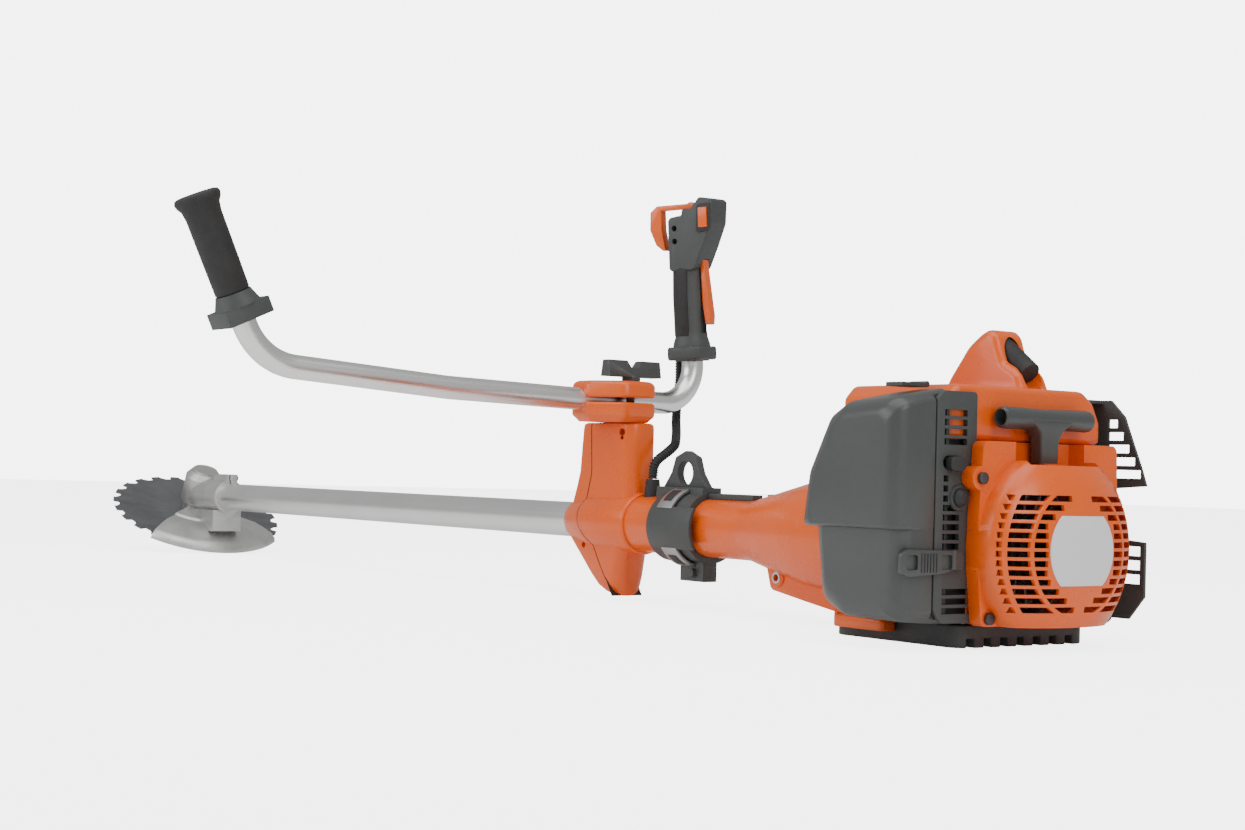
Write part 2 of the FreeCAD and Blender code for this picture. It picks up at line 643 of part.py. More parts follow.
keep(cut("clamp_base", clamp_plate("clamp_base_block", clamp_low, "bar_height - 3"), [
    bar_tool("base_bar_seat"), rod("base_screw_hole", 4.2, (knob_x, 0, "tower_top - 5"), 60),
]))
keep(cut("clamp_cap", clamp_plate("clamp_cap_block", "bar_height + 2", clamp_high), [
    bar_tool("cap_bar_seat"), rod("cap_screw_hole", 4.2, (knob_x, 0, "tower_top - 5"), 80),
]))
wing_notch = plate("wing_notch", "x", [
    (-9, "knob_height + knob_thick + 1"), (-4, "knob_height + 9"), (4, "knob_height + 9"),
    (9, "knob_height + knob_thick + 1"),
], f"{knob_x} - 20", f"{knob_x} + 20")
keep(joined("clamp_knob", [
    cut("knob_wings", plate("knob_block", "y", [
        (f"{knob_x} - 8", "knob_height"), (f"{knob_x} + 8", "knob_height"),
        (f"{knob_x} + 5", "knob_height + knob_thick"), (f"{knob_x} - 5", "knob_height + knob_thick"),
    ], "-knob_half", "knob_half"), [wing_notch]),
    rod("knob_collar", 9, (knob_x, 0, f"{clamp_high} + part_gap"), f"knob_height - {clamp_high} + 1"),
    rod("knob_screw", 4.15, (knob_x, 0, 145), "knob_height - 144"),
]))


# ---------------------------------------------------------------- handlebar and grips
def turned_route(points, radii):
    """Straight runs joined by arcs of the given radii."""
    edges = []
    start = points[0]
    for before, corner, after, radius in zip(points, points[1:], points[2:], radii):
        back_way = (before - corner).normalize()
        on_way = (after - corner).normalize()
        half = (math.pi - back_way.getAngle(on_way)) / 2
        reach = radius * math.tan(half)
        enter, leave = corner + back_way * reach, corner + on_way * reach
        middle_way = (back_way + on_way).normalize()
        middle = corner + middle_way * (radius / math.cos(half) - radius)
        edges += [Part.LineSegment(start, enter).toShape(), Part.Arc(enter, middle, leave).toShape()]
        start = leave
    edges.append(Part.LineSegment(start, points[-1]).toShape())
    return Part.Wire(edges)


def tube_along(wire, radius):
    start = wire.Edges[0]
    section = Part.Wire(Part.makeCircle(radius, start.valueAt(start.FirstParameter), start.tangentAt(start.FirstParameter)))
    return wire.makePipeShell([section], True, True)


bar_line_x = value(bar_x)
bar_level = value("bar_height")
bar_radius = value("bar_radius")
right_y = 95
riser = Placement(Vector(bar_line_x, right_y, bar_level), Rotation(Vector(1, 0, 0), value("riser_lean")))
lean = math.radians(value("left_lean"))
grip_up = Vector(0, -math.sin(lean), math.cos(lean))
left_corner = Vector(bar_line_x, -388, bar_level + 17.2)
left_grip_base = left_corner + grip_up * 65
bar_points = [
    riser.multVec(Vector(0, 0, 138)), riser.Base,
    Vector(bar_line_x, value("clamp_left") - 4, bar_level), Vector(bar_line_x, -195, bar_level + 4),
    left_corner, left_grip_base + grip_up * (value("left_grip_length") - 6),
]
bar_route = turned_route(bar_points, [38, 300, 400, 58])
bar_inner = tube_along(bar_route, bar_radius - 2)
keep(shaped("handlebar", tube_along(bar_route, bar_radius).cut(bar_inner)))

grip_turn = Rotation(Vector(1, 0, 0), Vector(), grip_up, "ZXY")


def left_turned(points):
    """Outline of (height, radius) turned on the left grip's line, from the grip's base."""
    corners = [Vector(radius, 0, height) for height, radius in points]
    solid = Part.Face(Part.makePolygon(corners + corners[:1])).revolve(Vector(), Vector(0, 0, 1), 360)
    solid.Placement = Placement(left_grip_base, grip_turn)
    return solid


grip_length = value("left_grip_length")
grip_radius = value("grip_radius")
left_bar = left_turned([(-60, 0), (-60, bar_radius), (grip_length - 6, bar_radius), (grip_length - 6, 0)])
keep(shaped("left_grip", left_turned([
    (0, 0), (0, grip_radius - 1), (grip_length - 12, grip_radius), (grip_length - 6, grip_radius + 4),
    (grip_length, grip_radius + 3), (grip_length + 2, 0),
]).cut(left_bar)))
collar_block = Part.makeBox(38, 44, 14, Vector(-19, -22, -26))
collar_block.Placement = Placement(left_grip_base, grip_turn)
keep(shaped("left_collar", left_turned([(-12.5, 0), (-12.5, 21), (-3, grip_radius + 1), (-0.2, grip_radius), (-0.2, 0)])
            .fuse(collar_block).cut(left_bar)))

handle_turn = 20
handle_place = riser * Placement(Vector(), Rotation(Vector(0, 0, 1), handle_turn)) * Placement(Vector(0, 0, -bar_level), Rotation())
head_low = bar_level + 145
grip_low = bar_level + 60


def handle_profile(points, half_width):
    """Outline in the handle's fore and aft plane, padded to both sides."""
    corners = [Vector(x, -half_width, z) for x, z in points]
    return Part.Face(Part.makePolygon(corners + corners[:1])).extrude(Vector(0, 2 * half_width, 0))


def handle_solid(points):
    corners = [Vector(radius, 0, height) for height, radius in points]
    return Part.Face(Part.makePolygon(corners + corners[:1])).revolve(Vector(), Vector(0, 0, 1), 360)


def on_handle(name, shape):
    piece = shaped(name, shape)
    piece.Placement = handle_place
    return keep(piece)


pivot = Vector(6, 0, head_low + 55.5)
lever_top = head_low + 1
handle_body = handle_solid([
    (grip_low - 2, 0), (grip_low - 2, 19), (grip_low + 14, grip_radius - 0.5), (grip_low + 50, grip_radius + 0.5),
    (head_low - 6, grip_radius - 0.5), (head_low + 2, grip_radius - 0.5), (head_low + 2, 0),
]).multiFuse([
    Part.makeBox(40, 38, 14, Vector(-20, -19, grip_low - 15)),
    handle_profile([
        (-15, head_low - 8), (15, head_low - 8), (36, head_low + 36), (38, head_low + 60), (22, head_low + 63),
        (13, head_low + 52), (2, head_low + 52), (1, head_low + 46), (-15, head_low + 44),
    ], 16),
]).cut(Part.makeCylinder(bar_radius, 400, Vector(0, 0, bar_level - 260)))
handle_body = handle_body.cut(Part.makeCylinder(4.5, 12, pivot - Vector(0, 6, 0), Vector(0, 1, 0)))
handle_body = handle_body.cut(Part.makeBox(12, 11, 74, Vector(11.5, -5.5, lever_top - 72)))
view_side = Vector(0.56, -0.83, 0).normalize()
half_space = Part.makeBox(200, 200, 300, Vector(-100, 0, bar_level))
half_space.rotate(Vector(), Vector(0, 0, 1), math.degrees(math.atan2(view_side.y, view_side.x)))
on_handle("throttle_handle_outer", handle_body.common(half_space))
on_handle("throttle_handle_inner", handle_body.cut(half_space))
on_handle("throttle_trigger", handle_profile([
    (8, head_low + 53), (8, head_low + 58), (-34, head_low + 58), (-42, head_low + 52), (-43, head_low + 34),
    (-36, head_low + 18), (-28, head_low + 12), (-25, head_low + 13), (-29, head_low + 34), (-29, head_low + 53),
], 5).fuse(Part.makeCylinder(4, 10, pivot - Vector(0, 5, 0), Vector(0, 1, 0))))
on_handle("lock_lever", handle_profile([
    (15.7, lever_top), (19.5, lever_top), (26, lever_top - 57), (25, lever_top - 66), (20, lever_top - 66),
    (17.2, lever_top - 46),
], 5))
on_handle("stop_switch", Part.makeBox(10, 2.6, 20, Vector(23, -18.9, head_low + 32)))


# ---------------------------------------------------------------- cable hose from the throttle handle to the tower
def hose(name, points):
    """Hose of straight runs and arcs as large as the runs allow."""
    radii = []
    for before, corner, after in zip(points, points[1:], points[2:]):
        half = (math.pi - (before - corner).getAngle(after - corner)) / 2
        run = min((before - corner).Length, (after - corner).Length)
        radii.append(0.45 * run / math.tan(half))
    route = turned_route(points, radii)
    tube = tube_along(route, value("hose_radius"))
    expected = math.pi * value("hose_radius") ** 2 * route.Length
    print(name, "radii", [round(radius, 1) for radius in radii], "length", round(route.Length, 1),
          "volume ratio", round(tube.Volume / expected, 4))
    return keep(shaped(name, tube))


hose_side = bar_line_x - 17
hose("hose_upper", [
    riser.multVec(Vector(-17, -3, grip_low - bar_level - 15.4)), riser.multVec(Vector(-17.5, -3.5, grip_low - bar_level - 34)),
    Vector(hose_side, right_y - 8, bar_level + 3),
])
boot_x = value("tower_x") + 42
boot_foot = bar_level - 96
hose("hose_lower", [
    Vector(hose_side, right_y - 8, bar_level + 1.4), Vector(hose_side + 4, right_y - 12, bar_level - 16),
    Vector(hose_side + 34, right_y - 34, bar_level - 32), Vector(boot_x + 2, 24, bar_level - 44),
    Vector(boot_x, 1, bar_level - 60), Vector(boot_x, 0, bar_level - 75),
])
hose_boot = Part.makeCone(8.5, 6.5, bar_level - 76.2 - boot_foot, Vector(boot_x, 0, boot_foot))
sleeve_line = Part.makeCylinder(value("sleeve_radius"), 60, Vector(boot_x - 30, 0, value("axis_height")), Vector(1, 0, 0))
keep(shaped("hose_boot", hose_boot.cut(sleeve_line)))

# ---------------------------------------------------------------- starter
dome_start = "starter_front + 14.4"
dome_outer = [
    (dome_start, 0), (dome_start, "starter_radius"), ("rear_face - 22", "starter_radius"),
    ("rear_face - 17", "starter_radius - 3"), ("rear_face - 12", "starter_radius - 9"),
    ("rear_face - 7", "starter_radius - 17.5"), ("rear_face - 3", "starter_radius - 26.5"),
    ("rear_face", "label_radius"), ("rear_face", 0),
]
dome_inner = [
    ("starter_front - 1", 0), ("starter_front - 1", "flywheel_radius + 4"),
    ("starter_face - 2", "flywheel_radius + 4"), ("starter_face - 2", "starter_radius - skin"),
    ("rear_face - 22", "starter_radius - skin"), ("rear_face - 15", "starter_radius - 9"),
    ("rear_face - 10", "starter_radius - 17.5"), ("rear_face - 6", "starter_radius - 26.5"),
    ("rear_face - skin", "label_radius - 1"), ("rear_face - skin", 0),
]
below_starter = box("below_starter", ("starter_front - 2", -90, -10), ("rear_face + 2", 90, "base_top + 1"))
below_room = box("below_room", ("starter_front - 2", -90, -10), ("rear_face + 2", 90, "base_top + 1 + skin"))
stem_room = 38      # half width of the recess that the pull handle's stem stands in
stem_floor = 139
over_room = box("over_room", ("starter_front - 2", f"-{stem_room} - skin", f"{stem_floor} - skin"),
                ("rear_face + 2", f"{stem_room} + skin", 160))
louvre_count = 13
louvre_pitch = 6.9
louvre_height = 4.4
louvres = []
for i in range(louvre_count):
    middle = (i - louvre_count // 2) * louvre_pitch - 2
    outer_edge = math.sqrt((value("starter_radius") - 3) ** 2 - middle ** 2)
    inner_edge = value("label_radius") - 1.3 * max(0, abs(middle) - 20)
    low = f"axis_height + {middle - louvre_height / 2:.2f}"
    for side, edges in (("left", (-outer_edge, -inner_edge)), ("right", (inner_edge, outer_edge))):
        louvres.append(box(f"louvre_{side}_{i}", ("rear_face - 24", edges[0], low),
                           ("rear_face + 1", edges[1], f"{low} + {louvre_height}")))
ribs = []
for name, inner_radius in (("outer_rib", 67.6), ("inner_rib", 48.8)):
    ribs.append(turned(name, [("rear_face - 25", inner_radius), ("rear_face - 25", inner_radius + 3),
                              ("rear_face + 2", inner_radius + 3), ("rear_face + 2", inner_radius)], shaft_line(0)))
skirt_top = "seam_height - 0.2"
starter_skirt = plate("starter_skirt", "x", [
    ("shroud_left", "base_top + 1"), ("shroud_right", "base_top + 1"), ("shroud_right", skirt_top),
    ("shroud_left", skirt_top),
], "starter_front", "starter_face", corner=6)
starter_flange = plate("starter_flange", "x", [
    (-71, "base_top + 1"), (73, "base_top + 1"), (78, 60), (78, 100), (76, skirt_top), (-72, skirt_top),
    (-76, 100), (-76, 60),
], dome_start, "starter_face", corner=6)
keep(joined("starter_housing", [
    cut("starter_shell", joined("starter_block", [
        starter_skirt, starter_flange, turned("starter_dome", dome_outer, shaft_line(0)),
        rod("starter_ear", 9, (dome_start, -74, 128), f"starter_face - ({dome_start})", "x"),
    ]), [
        below_starter, cut("louvre_set", joined("louvre_block", louvres), ribs),
        cut("starter_inside", turned("starter_room", dome_inner, shaft_line(0)), [below_room, over_room]),
        box("handle_recess", ("rope_plane - 9.6", -stem_room, stem_floor), ("rear_face + 1", stem_room, "seam_height + 1")),
        rod("rope_hole", 3, ("rope_plane", 0, 110), 40),
    ]),
    rod("starter_post", 5, ("rope_plane - 10", 0, axis), "rear_face - rope_plane + 9", "x"),
]))
groove = "pulley_radius - 5"
pulley_profile = [(f"rope_plane {shift}", reach) for shift, reach in (
    ("- 6", 5.05), ("- 6", "pulley_radius"), ("- 4", "pulley_radius"), ("- 3", groove), ("+ 3", groove),
    ("+ 4", "pulley_radius"), ("+ 6", "pulley_radius"), ("+ 6", 5.05))]
keep(turned("starter_pulley", pulley_profile, shaft_line(0)))
spring_turns = 6
spring_steps = 24
coil = []
for i in range(spring_turns * spring_steps + 1):
    angle = 2 * math.pi * i / spring_steps
    reach = 8 + 3 * i / spring_steps
    coil.append(Vector(math.cos(angle), math.sin(angle), 0) * reach)
strip = coil + [point * (1 + 0.5 / point.Length) for point in reversed(coil)]
spiral = Part.Face(Part.makePolygon(strip + strip[:1])).extrude(Vector(0, 0, 7))
spiral.Placement = Placement(Vector(value("rope_plane") + 8, 0, value(axis)), turns["x"])
keep(shaped("recoil_spring", spiral))
keep(rod("starter_rope", 1.8, ("rope_plane", 0, "axis_height + pulley_radius - 4"),
         "139.4 - axis_height - pulley_radius + 4"))
pull_half = 49
keep(joined("pull_handle", [
    rod("pull_grip", 8.5, ("rope_plane", -pull_half, 174), 2 * pull_half, "y"),
    cone("pull_stem", 6.5, 9, ("rope_plane", 0, 139.8), 34),
]))

# ---------------------------------------------------------------- top cover, plug and exhaust side
cover_left = "filter_seam + 4"
cover_right = 76
cover_rear = "starter_front + 9.6"
plug_direction = Vector(0.8, 0, -0.6)
boot_start = Vector(17, 22, 235)
hood_y = 22


def cover_profile(name, inset, start, end):
    return plate(name, "x", [
        (f"{cover_left} + {inset}", f"seam_height - {inset}"), (f"{cover_left} + {inset}", f"cover_top - 10 - {inset}"),
        (f"{cover_left} + 10", f"cover_top - {inset}"), (cover_right - 20, f"cover_top - {inset}"),
        (cover_right - 8, f"cover_top - 9 - {inset}"), (cover_right - inset, f"cover_top - 24 - {inset}"),
        (cover_right - inset, f"seam_height - {inset}"),
    ], start, end)


hood = plate("hood_block", "y", [
    (-30, "cover_top - 4"), (-23, "cover_top + 11"), (-3, "cover_top + 36"), (10, "cover_top + 45"),
    (20, "cover_top + 49"), (26, "cover_top + 44"), (29, "cover_top + 36"), (34, "cover_top + 24"),
    (44, "cover_top + 19"), (50, "cover_top + 14"), (57, "cover_top - 4"),
], hood_y - 17, hood_y + 17)
hood_inside = joined("hood_inside", [
    box("hood_room", (-10, hood_y - 13, 150), (46, hood_y + 13, "cover_top + 12")),
    rod("plug_room", 8, (26, hood_y, 150), 80),
])
boot_room = doc.addObject("Part::Cylinder", "boot_room")
bind(boot_room, "Radius", 9.6)
bind(boot_room, "Height", 80)
place(boot_room, (f"{boot_start.x}", hood_y, f"{boot_start.z} + 0 * cover_top"), Rotation(Vector(0, 0, 1), plug_direction))
keep(cut("top_cover", joined("cover_block", [cover_profile("cover_outer", 0, -42, cover_rear), hood]), [
    cover_profile("cover_inner", 2.6, -39, f"{cover_rear} - 3"), hood_inside, boot_room,
]))
boot = Part.makeCylinder(9, 40, boot_start, plug_direction)
plug = Part.makeCylinder(5, 30, Vector(26, hood_y, 190)).fuse(Part.makeCylinder(8, 6, Vector(26, hood_y, 190)))
keep(shaped("plug_boot", boot.fuse(plug)))

keep(plate("muffler", "z", [(-32, 48.4), (34, 48.4), (34, 92), (-32, 92)], "cylinder_base + 1", "seam_height - 2", corner=10))
grille_slots = []
for i in range(5):
    low = 131 + 10 * i
    grille_slots.append(box(f"grille_upper_{i}", (64, 90, low), (97 - 6 * i, 110, low + 6.5)))
for i in range(3):
    low = 48 + 11 * i
    grille_slots.append(box(f"grille_lower_{i}", (66, 90, low), (98, 110, low + 7.5)))
side_wall = plate("guard_wall_block", "y", [
    (-40, 20), (88, 20), (103, 38), (103, 81), (62, 84), (62, 122), (103, 125), (80, 180), (66, 193), (-40, 193),
], "guard_face - skin", "guard_face")
keep(joined("muffler_guard", [
    cut("guard_side", side_wall, grille_slots),
    box("guard_top", (-40, cover_right + 0.4, 190), (58, "guard_face - skin", 193)),
    box("guard_front", (-40, cover_right + 0.4, 60), (-37, "guard_face - skin", 190)),
]))

# ---------------------------------------------------------------- intake side
vent_slots = [box(f"vent_upper_{i}", (70, -104, 155 + 7.4 * i), (84, -84, 160 + 7.4 * i)) for i in range(4)]
vent_slots += [box(f"vent_middle_{i}", (70, -106, 69 + 6.2 * i), (84, -92, 73 + 6.2 * i)) for i in range(6)]
vent_slots += [box(f"vent_lower_{i}", (70, -106, 27 + 6.6 * i), (84, -82, 31.6 + 6.6 * i)) for i in range(3)]
vent_slots += [
    rod("choke_hole", 4.3, (70, -92, 138), 20, "x"),
    rod("purge_hole", 7.4, (70, -85, 113), 20, "x"),
    rod("intake_hole", 14, (12, "filter_seam - 2", 116), 10, "y"),
]
keep(cut("vent_panel", joined("vent_block", [
    plate("vent_face", "x", [(-110, 18), (-66, 18), (-66, 118), (-76, 120), (-76, 137), (-66, 139), (-66, 196), (-104, 196),
                             (-110, 188)], "starter_front + 10", "starter_front + 14"),
    plate("vent_back", "y", [
        (-24, 30), ("starter_front + 10", 22), ("starter_front + 10", 190), (26, 188), (-18, 175), (-32, 132), (-36, 92),
        (-28, 80),
    ], "filter_seam + 0.6", "filter_seam + 3.6"),
]), vent_slots))
face_outline = [(4, 171), (18, 181), (72, 185), (80, 178), (80, 28), (72, 20), (20, 20), (-3, 34), (-9, 80), (-27, 92), (-20, 130)]
seam_outline = [(-20, 178), (26, 192), (72, 194), (80, 187), (80, 26), (72, 19), (0, 19), (-26, 30), (-30, 80), (-38, 92), (-34, 132)]


def outline_at(points, y, inset):
    """Outline drawn in towards its middle, in the plane of one y."""
    middle = Vector(28, 0, 105)
    corners = []
    for x, z in points:
        away = Vector(x, 0, z) - middle
        corners.append(middle + Vector(away.x * (1 - inset / 52), 0, away.z * (1 - inset / 85)) + Vector(0, y, 0))
    return Part.makePolygon(corners + corners[:1])


filter_face = value("filter_face")
filter_seam = value("filter_seam")
skin = value("skin")
shell_outer = Part.makeLoft([outline_at(face_outline, filter_face, 4), outline_at(face_outline, filter_face + 8, 0),
                             outline_at(seam_outline, filter_seam, 0)], True, True)
shell_inner = Part.makeLoft([outline_at(face_outline, filter_face + skin, 4 + skin),
                             outline_at(face_outline, filter_face + 8, skin),
                             outline_at(seam_outline, filter_seam + 1, skin)], True, True)
face_gap = Part.makeBox(20, 40, 220, Vector(value("starter_front") + 9.6, -110.4, 0))
keep(shaped("filter_cover", shell_outer.cut(shell_inner).cut(face_gap)))
keep(plate("air_filter", "y", [(-8, 70), (58, 70), (58, 150), (-8, 150)], "filter_face + 14", "filter_seam - 0.4", corner=10))
keep(cut("carburettor", joined("carburettor_block", [
    box("carburettor_body", (-10, -88, 104), (34, -52, 144)),
    rod("carburettor_horn", 12, (12, "filter_seam + 0.6", 116), 10, "y"),
    rod("carburettor_spigot", 8.5, (0, -60, 133), 15, "y"),
]), [rod("carburettor_throat", 8, (12, -100, 116), 40, "y"), rod("spigot_throat", 6, (0, -66, 133), 30, "y")]))
keep(joined("choke_knob", [
    rod("choke_stem", 4.2, ("starter_front + 5", -92, 138), 10, "x"),
    plate("choke_grip", "x", [(-100, 132.5), (-84, 132.5), (-84, 143.5), (-100, 143.5)], "starter_front + 14.4",
          "starter_front + 21", corner=5),
]))
keep(joined("purge_bulb", [
    rod("bulb_wall", 7, ("starter_front + 6", -85, 113), 11, "x"),
    cone("bulb_crown", 7, 4, ("starter_front + 17", -85, 113), 3, "x"),
]))
keep(joined("cover_latch_side", [
    box("side_latch_arm", ("starter_front + 14.4", -136, 60), ("starter_front + 18", -92, 74)),
    rod("side_latch_barrel", 2.6, ("starter_front + 17", -92, 60), 14),
]))
keep(joined("cover_latch_top", [
    box("top_latch_arm", (34, -118, 195), (52, -92, 198.2)),
    rod("top_latch_barrel", 2.4, (34, -92, 197.4), 18, "x"),
]))

# ---------------------------------------------------------------- screws in the covers
for y, z in ((-74, 128), (-64, 24), (66, 24)):
    screws.append(Part.makeCylinder(4.5, 3.5, Vector(value("starter_face") + 0.1, y, z), Vector(1, 0, 0)))
keep(shaped("cover_screws", Part.makeCompound(screws)))

# ---------------------------------------------------------------- check and write
doc.recompute()
failed = [item.Name for item in doc.Objects if "Invalid" in item.State or "Error" in item.State]
if failed:
    raise RuntimeError("failed features: " + ", ".join(failed))
for piece in parts:
    if piece.Shape.isNull() or not piece.Shape.isValid() or not piece.Shape.Solids:
        raise RuntimeError("bad shape: " + piece.Label)
for piece in parts:
    piece.Shape.exportStep(f"parts/{piece.Label}.step")
print(len(parts), "parts written")
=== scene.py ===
import json
import math

import bmesh
import bpy
from mathutils import Matrix, Vector


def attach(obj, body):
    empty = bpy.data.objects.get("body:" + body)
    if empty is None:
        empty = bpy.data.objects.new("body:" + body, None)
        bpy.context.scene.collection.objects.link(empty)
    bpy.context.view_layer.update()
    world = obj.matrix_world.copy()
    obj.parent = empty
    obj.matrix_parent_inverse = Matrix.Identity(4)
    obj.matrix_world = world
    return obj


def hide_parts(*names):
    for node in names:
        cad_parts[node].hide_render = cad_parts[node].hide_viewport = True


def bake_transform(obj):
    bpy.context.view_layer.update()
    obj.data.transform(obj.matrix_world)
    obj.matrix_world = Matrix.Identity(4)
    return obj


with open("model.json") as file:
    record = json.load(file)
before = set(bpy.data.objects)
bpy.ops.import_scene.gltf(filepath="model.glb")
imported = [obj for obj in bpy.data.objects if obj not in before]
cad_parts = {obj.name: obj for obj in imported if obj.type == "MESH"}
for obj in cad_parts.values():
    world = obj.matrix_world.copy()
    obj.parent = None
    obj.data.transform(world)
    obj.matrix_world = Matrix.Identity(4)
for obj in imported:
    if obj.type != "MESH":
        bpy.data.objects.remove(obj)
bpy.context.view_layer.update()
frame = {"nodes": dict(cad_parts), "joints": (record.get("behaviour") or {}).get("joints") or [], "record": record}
nodes = frame["nodes"]
joints = {joint["name"]: joint for joint in frame["joints"]}
mm = 0.001

# camera, floor and light

viewpoint = dict(place=(1.1407, -1.1684, 0.1279), heading=36.10, rise=1.51, roll=1.596, lens=58.39)


def makeCamera(v):
    heading, rise, roll = (math.radians(v[k]) for k in ("heading", "rise", "roll"))
    look = Vector((-math.cos(heading) * math.cos(rise), math.sin(heading) * math.cos(rise), math.sin(rise)))
    right = look.cross(Vector((0, 0, 1))).normalized()
    up = right.cross(look)
    side = right * math.cos(roll) + up * math.sin(roll)
    top = up * math.cos(roll) - right * math.sin(roll)
    data = bpy.data.cameras.new("mainCamera")
    data.lens = v["lens"]
    data.sensor_width = 36
    cam = bpy.data.objects.new("mainCamera", data)
    cam.matrix_world = Matrix((side, top, -look)).transposed().to_4x4()
    cam.location = v["place"]
    bpy.context.scene.collection.objects.link(cam)
    bpy.context.scene.camera = cam


makeCamera(viewpoint)

studio = dict(worldTint=(1.0, 1.0, 1.0), worldPower=0.5, backdropPower=6.0)


def areaLight(name, place, aim, size, power, tint=(1, 1, 1)):
    data = bpy.data.lights.new(name, "AREA")
    data.shape = "RECTANGLE"
    data.size, data.size_y = size
    data.energy = power
    data.color = tint
    lamp = bpy.data.objects.new(name, data)
    lamp.location = place
    lamp.rotation_euler = (Vector(aim) - Vector(place)).to_track_quat("-Z", "Y").to_euler()
    bpy.context.scene.collection.objects.link(lamp)


def makeStudio():
    world = bpy.data.worlds.new("studioWorld")
    world.use_nodes = True
    sky = world.node_tree.nodes["Background"]
    sky.inputs["Color"].default_value = (*studio["worldTint"], 1)
    rays = world.node_tree.nodes.new("ShaderNodeLightPath")
    power = world.node_tree.nodes.new("ShaderNodeMapRange")
    power.inputs["To Min"].default_value = studio["worldPower"]
    power.inputs["To Max"].default_value = studio["backdropPower"]
    world.node_tree.links.new(rays.outputs["Is Camera Ray"], power.inputs["Value"])
    world.node_tree.links.new(power.outputs["Result"], sky.inputs["Strength"])
    bpy.context.scene.world = world
    areaLight("overheadSoftbox", (0.1, -0.5, 1.9), (-0.3, 0, 0.1), (2.6, 1.4), 26)
    areaLight("rearSoftbox", (1.6, -0.2, 1.0), (0, 0, 0.1), (1.0, 1.0), 10)
    areaLight("leftSoftbox", (-0.9, -1.8, 0.9), (-0.5, 0, 0.15), (1.6, 0.8), 13)


makeStudio()

# materials


class Wiring:  # short way to add and join shader nodes
    def __init__(self, name):
        self.material = bpy.data.materials.new(name)
        self.material.use_nodes = True
        self.tree = self.material.node_tree
        self.shader = self.tree.nodes["Principled BSDF"]
        self.place = self.add("ShaderNodeTexCoord").outputs["Object"]

    def add(self, kind, **inputs):
        node = self.tree.nodes.new(kind)
        for key, value in inputs.items():
            socket = node.inputs[key.replace("_", " ")]
            if isinstance(value, bpy.types.NodeSocket):
                self.tree.links.new(value, socket)
            else:
                socket.default_value = value
        return node

    def join(self, source, socket):
        self.tree.links.new(source, self.shader.inputs[socket])

    def stretched(self, scale):
        return self.add("ShaderNodeMapping", Vector=self.place, Scale=scale).outputs["Vector"]

    def noise(self, scale, detail=4.0, vector=None, rough=0.55):
        source = vector or self.place
        node = self.add("ShaderNodeTexNoise", Vector=source, Scale=scale, Detail=detail, Roughness=rough)
        return node.outputs["Fac"]

    def ramp(self, fac, stops):
        node = self.add("ShaderNodeValToRGB", Fac=fac)
        marks = node.color_ramp.elements
        while len(marks) < len(stops):
            marks.new(0.5)
        for mark, (where, colour) in zip(marks, stops):
            mark.position = where
            mark.color = (*colour, 1) if len(colour) == 3 else colour
        return node.outputs["Color"]

    def span(self, fac, low, high):
        return self.add("ShaderNodeMapRange", Value=fac, To_Min=low, To_Max=high).outputs["Result"]

    def bump(self, height, distance, strength=1.0):
        node = self.add("ShaderNodeBump", Height=height, Distance=distance, Strength=strength)
        self.tree.links.new(node.outputs["Normal"], self.shader.inputs["Normal"])


def shade(colour, factor):
    return tuple(min(1.0, c * factor) for c in colour)


def plastic(name, colour, rough, grain=0.00004, spread=0.06, coat=0.0, grainScale=900):
    # Moulded plastic: faint flow marks in the colour, a fine spark-eroded grain and uneven gloss.
    w = Wiring(name)
    flow = w.noise(9.0, 3.0)
    w.join(w.ramp(flow, [(0.3, shade(colour, 1 - spread)), (0.7, shade(colour, 1 + spread))]), "Base Color")
    scuff = w.noise(60.0, 5.0)
    w.join(w.span(scuff, rough * 0.86, rough * 1.16), "Roughness")
    w.bump(w.noise(grainScale, 2.0), grain)
    w.shader.inputs["IOR"].default_value = 1.5
    w.shader.inputs["Coat Weight"].default_value = coat
    w.shader.inputs["Coat Roughness"].default_value = 0.12
    return w.material


def drawnMetal(name, colour, rough, grainAxis, scale=400, depth=0.00002):
    # Metal with fine lines along one axis.
    w = Wiring(name)
    stretch = [scale, scale, scale]
    stretch[grainAxis] = scale * 0.012
    lines = w.noise(1.0, 3.0, w.stretched(tuple(stretch)))
    cloud = w.noise(14.0, 4.0)
    w.join(w.ramp(cloud, [(0.25, shade(colour, 0.93)), (0.75, shade(colour, 1.04))]), "Base Color")
    w.join(w.span(lines, rough * 0.75, rough * 1.3), "Roughness")
    w.shader.inputs["Metallic"].default_value = 1.0
    w.bump(lines, depth)
    return w.material


def castMetal(name, colour, rough, depth=0.00025, metallic=0.9):
    # Tumbled casting: fine orange-peel skin with small pits.
    w = Wiring(name)
    cloud = w.noise(35.0, 5.0)
    w.join(w.ramp(cloud, [(0.3, shade(colour, 0.84)), (0.72, shade(colour, 1.08))]), "Base Color")
    skin = w.noise(420.0, 4.0)
    lumps = w.noise(120.0, 2.0)
    both = w.add("ShaderNodeMath")
    w.tree.links.new(skin, both.inputs[0])
    w.tree.links.new(lumps, both.inputs[1])
    w.join(w.span(skin, rough * 0.8, rough * 1.3), "Roughness")
    w.shader.inputs["Metallic"].default_value = metallic
    w.bump(both.outputs["Value"], depth)
    return w.material


def rubber(name, colour, rough=0.62):
    w = Wiring(name)
    w.join(w.ramp(w.noise(40.0, 4.0), [(0.3, shade(colour, 0.8)), (0.7, shade(colour, 1.25))]), "Base Color")
    w.join(w.span(w.noise(200.0, 3.0), rough * 0.85, rough * 1.15), "Roughness")
    w.bump(w.noise(1500.0, 2.0), 0.00006)
    w.shader.inputs["Specular IOR Level"].default_value = 0.4
    return w.material


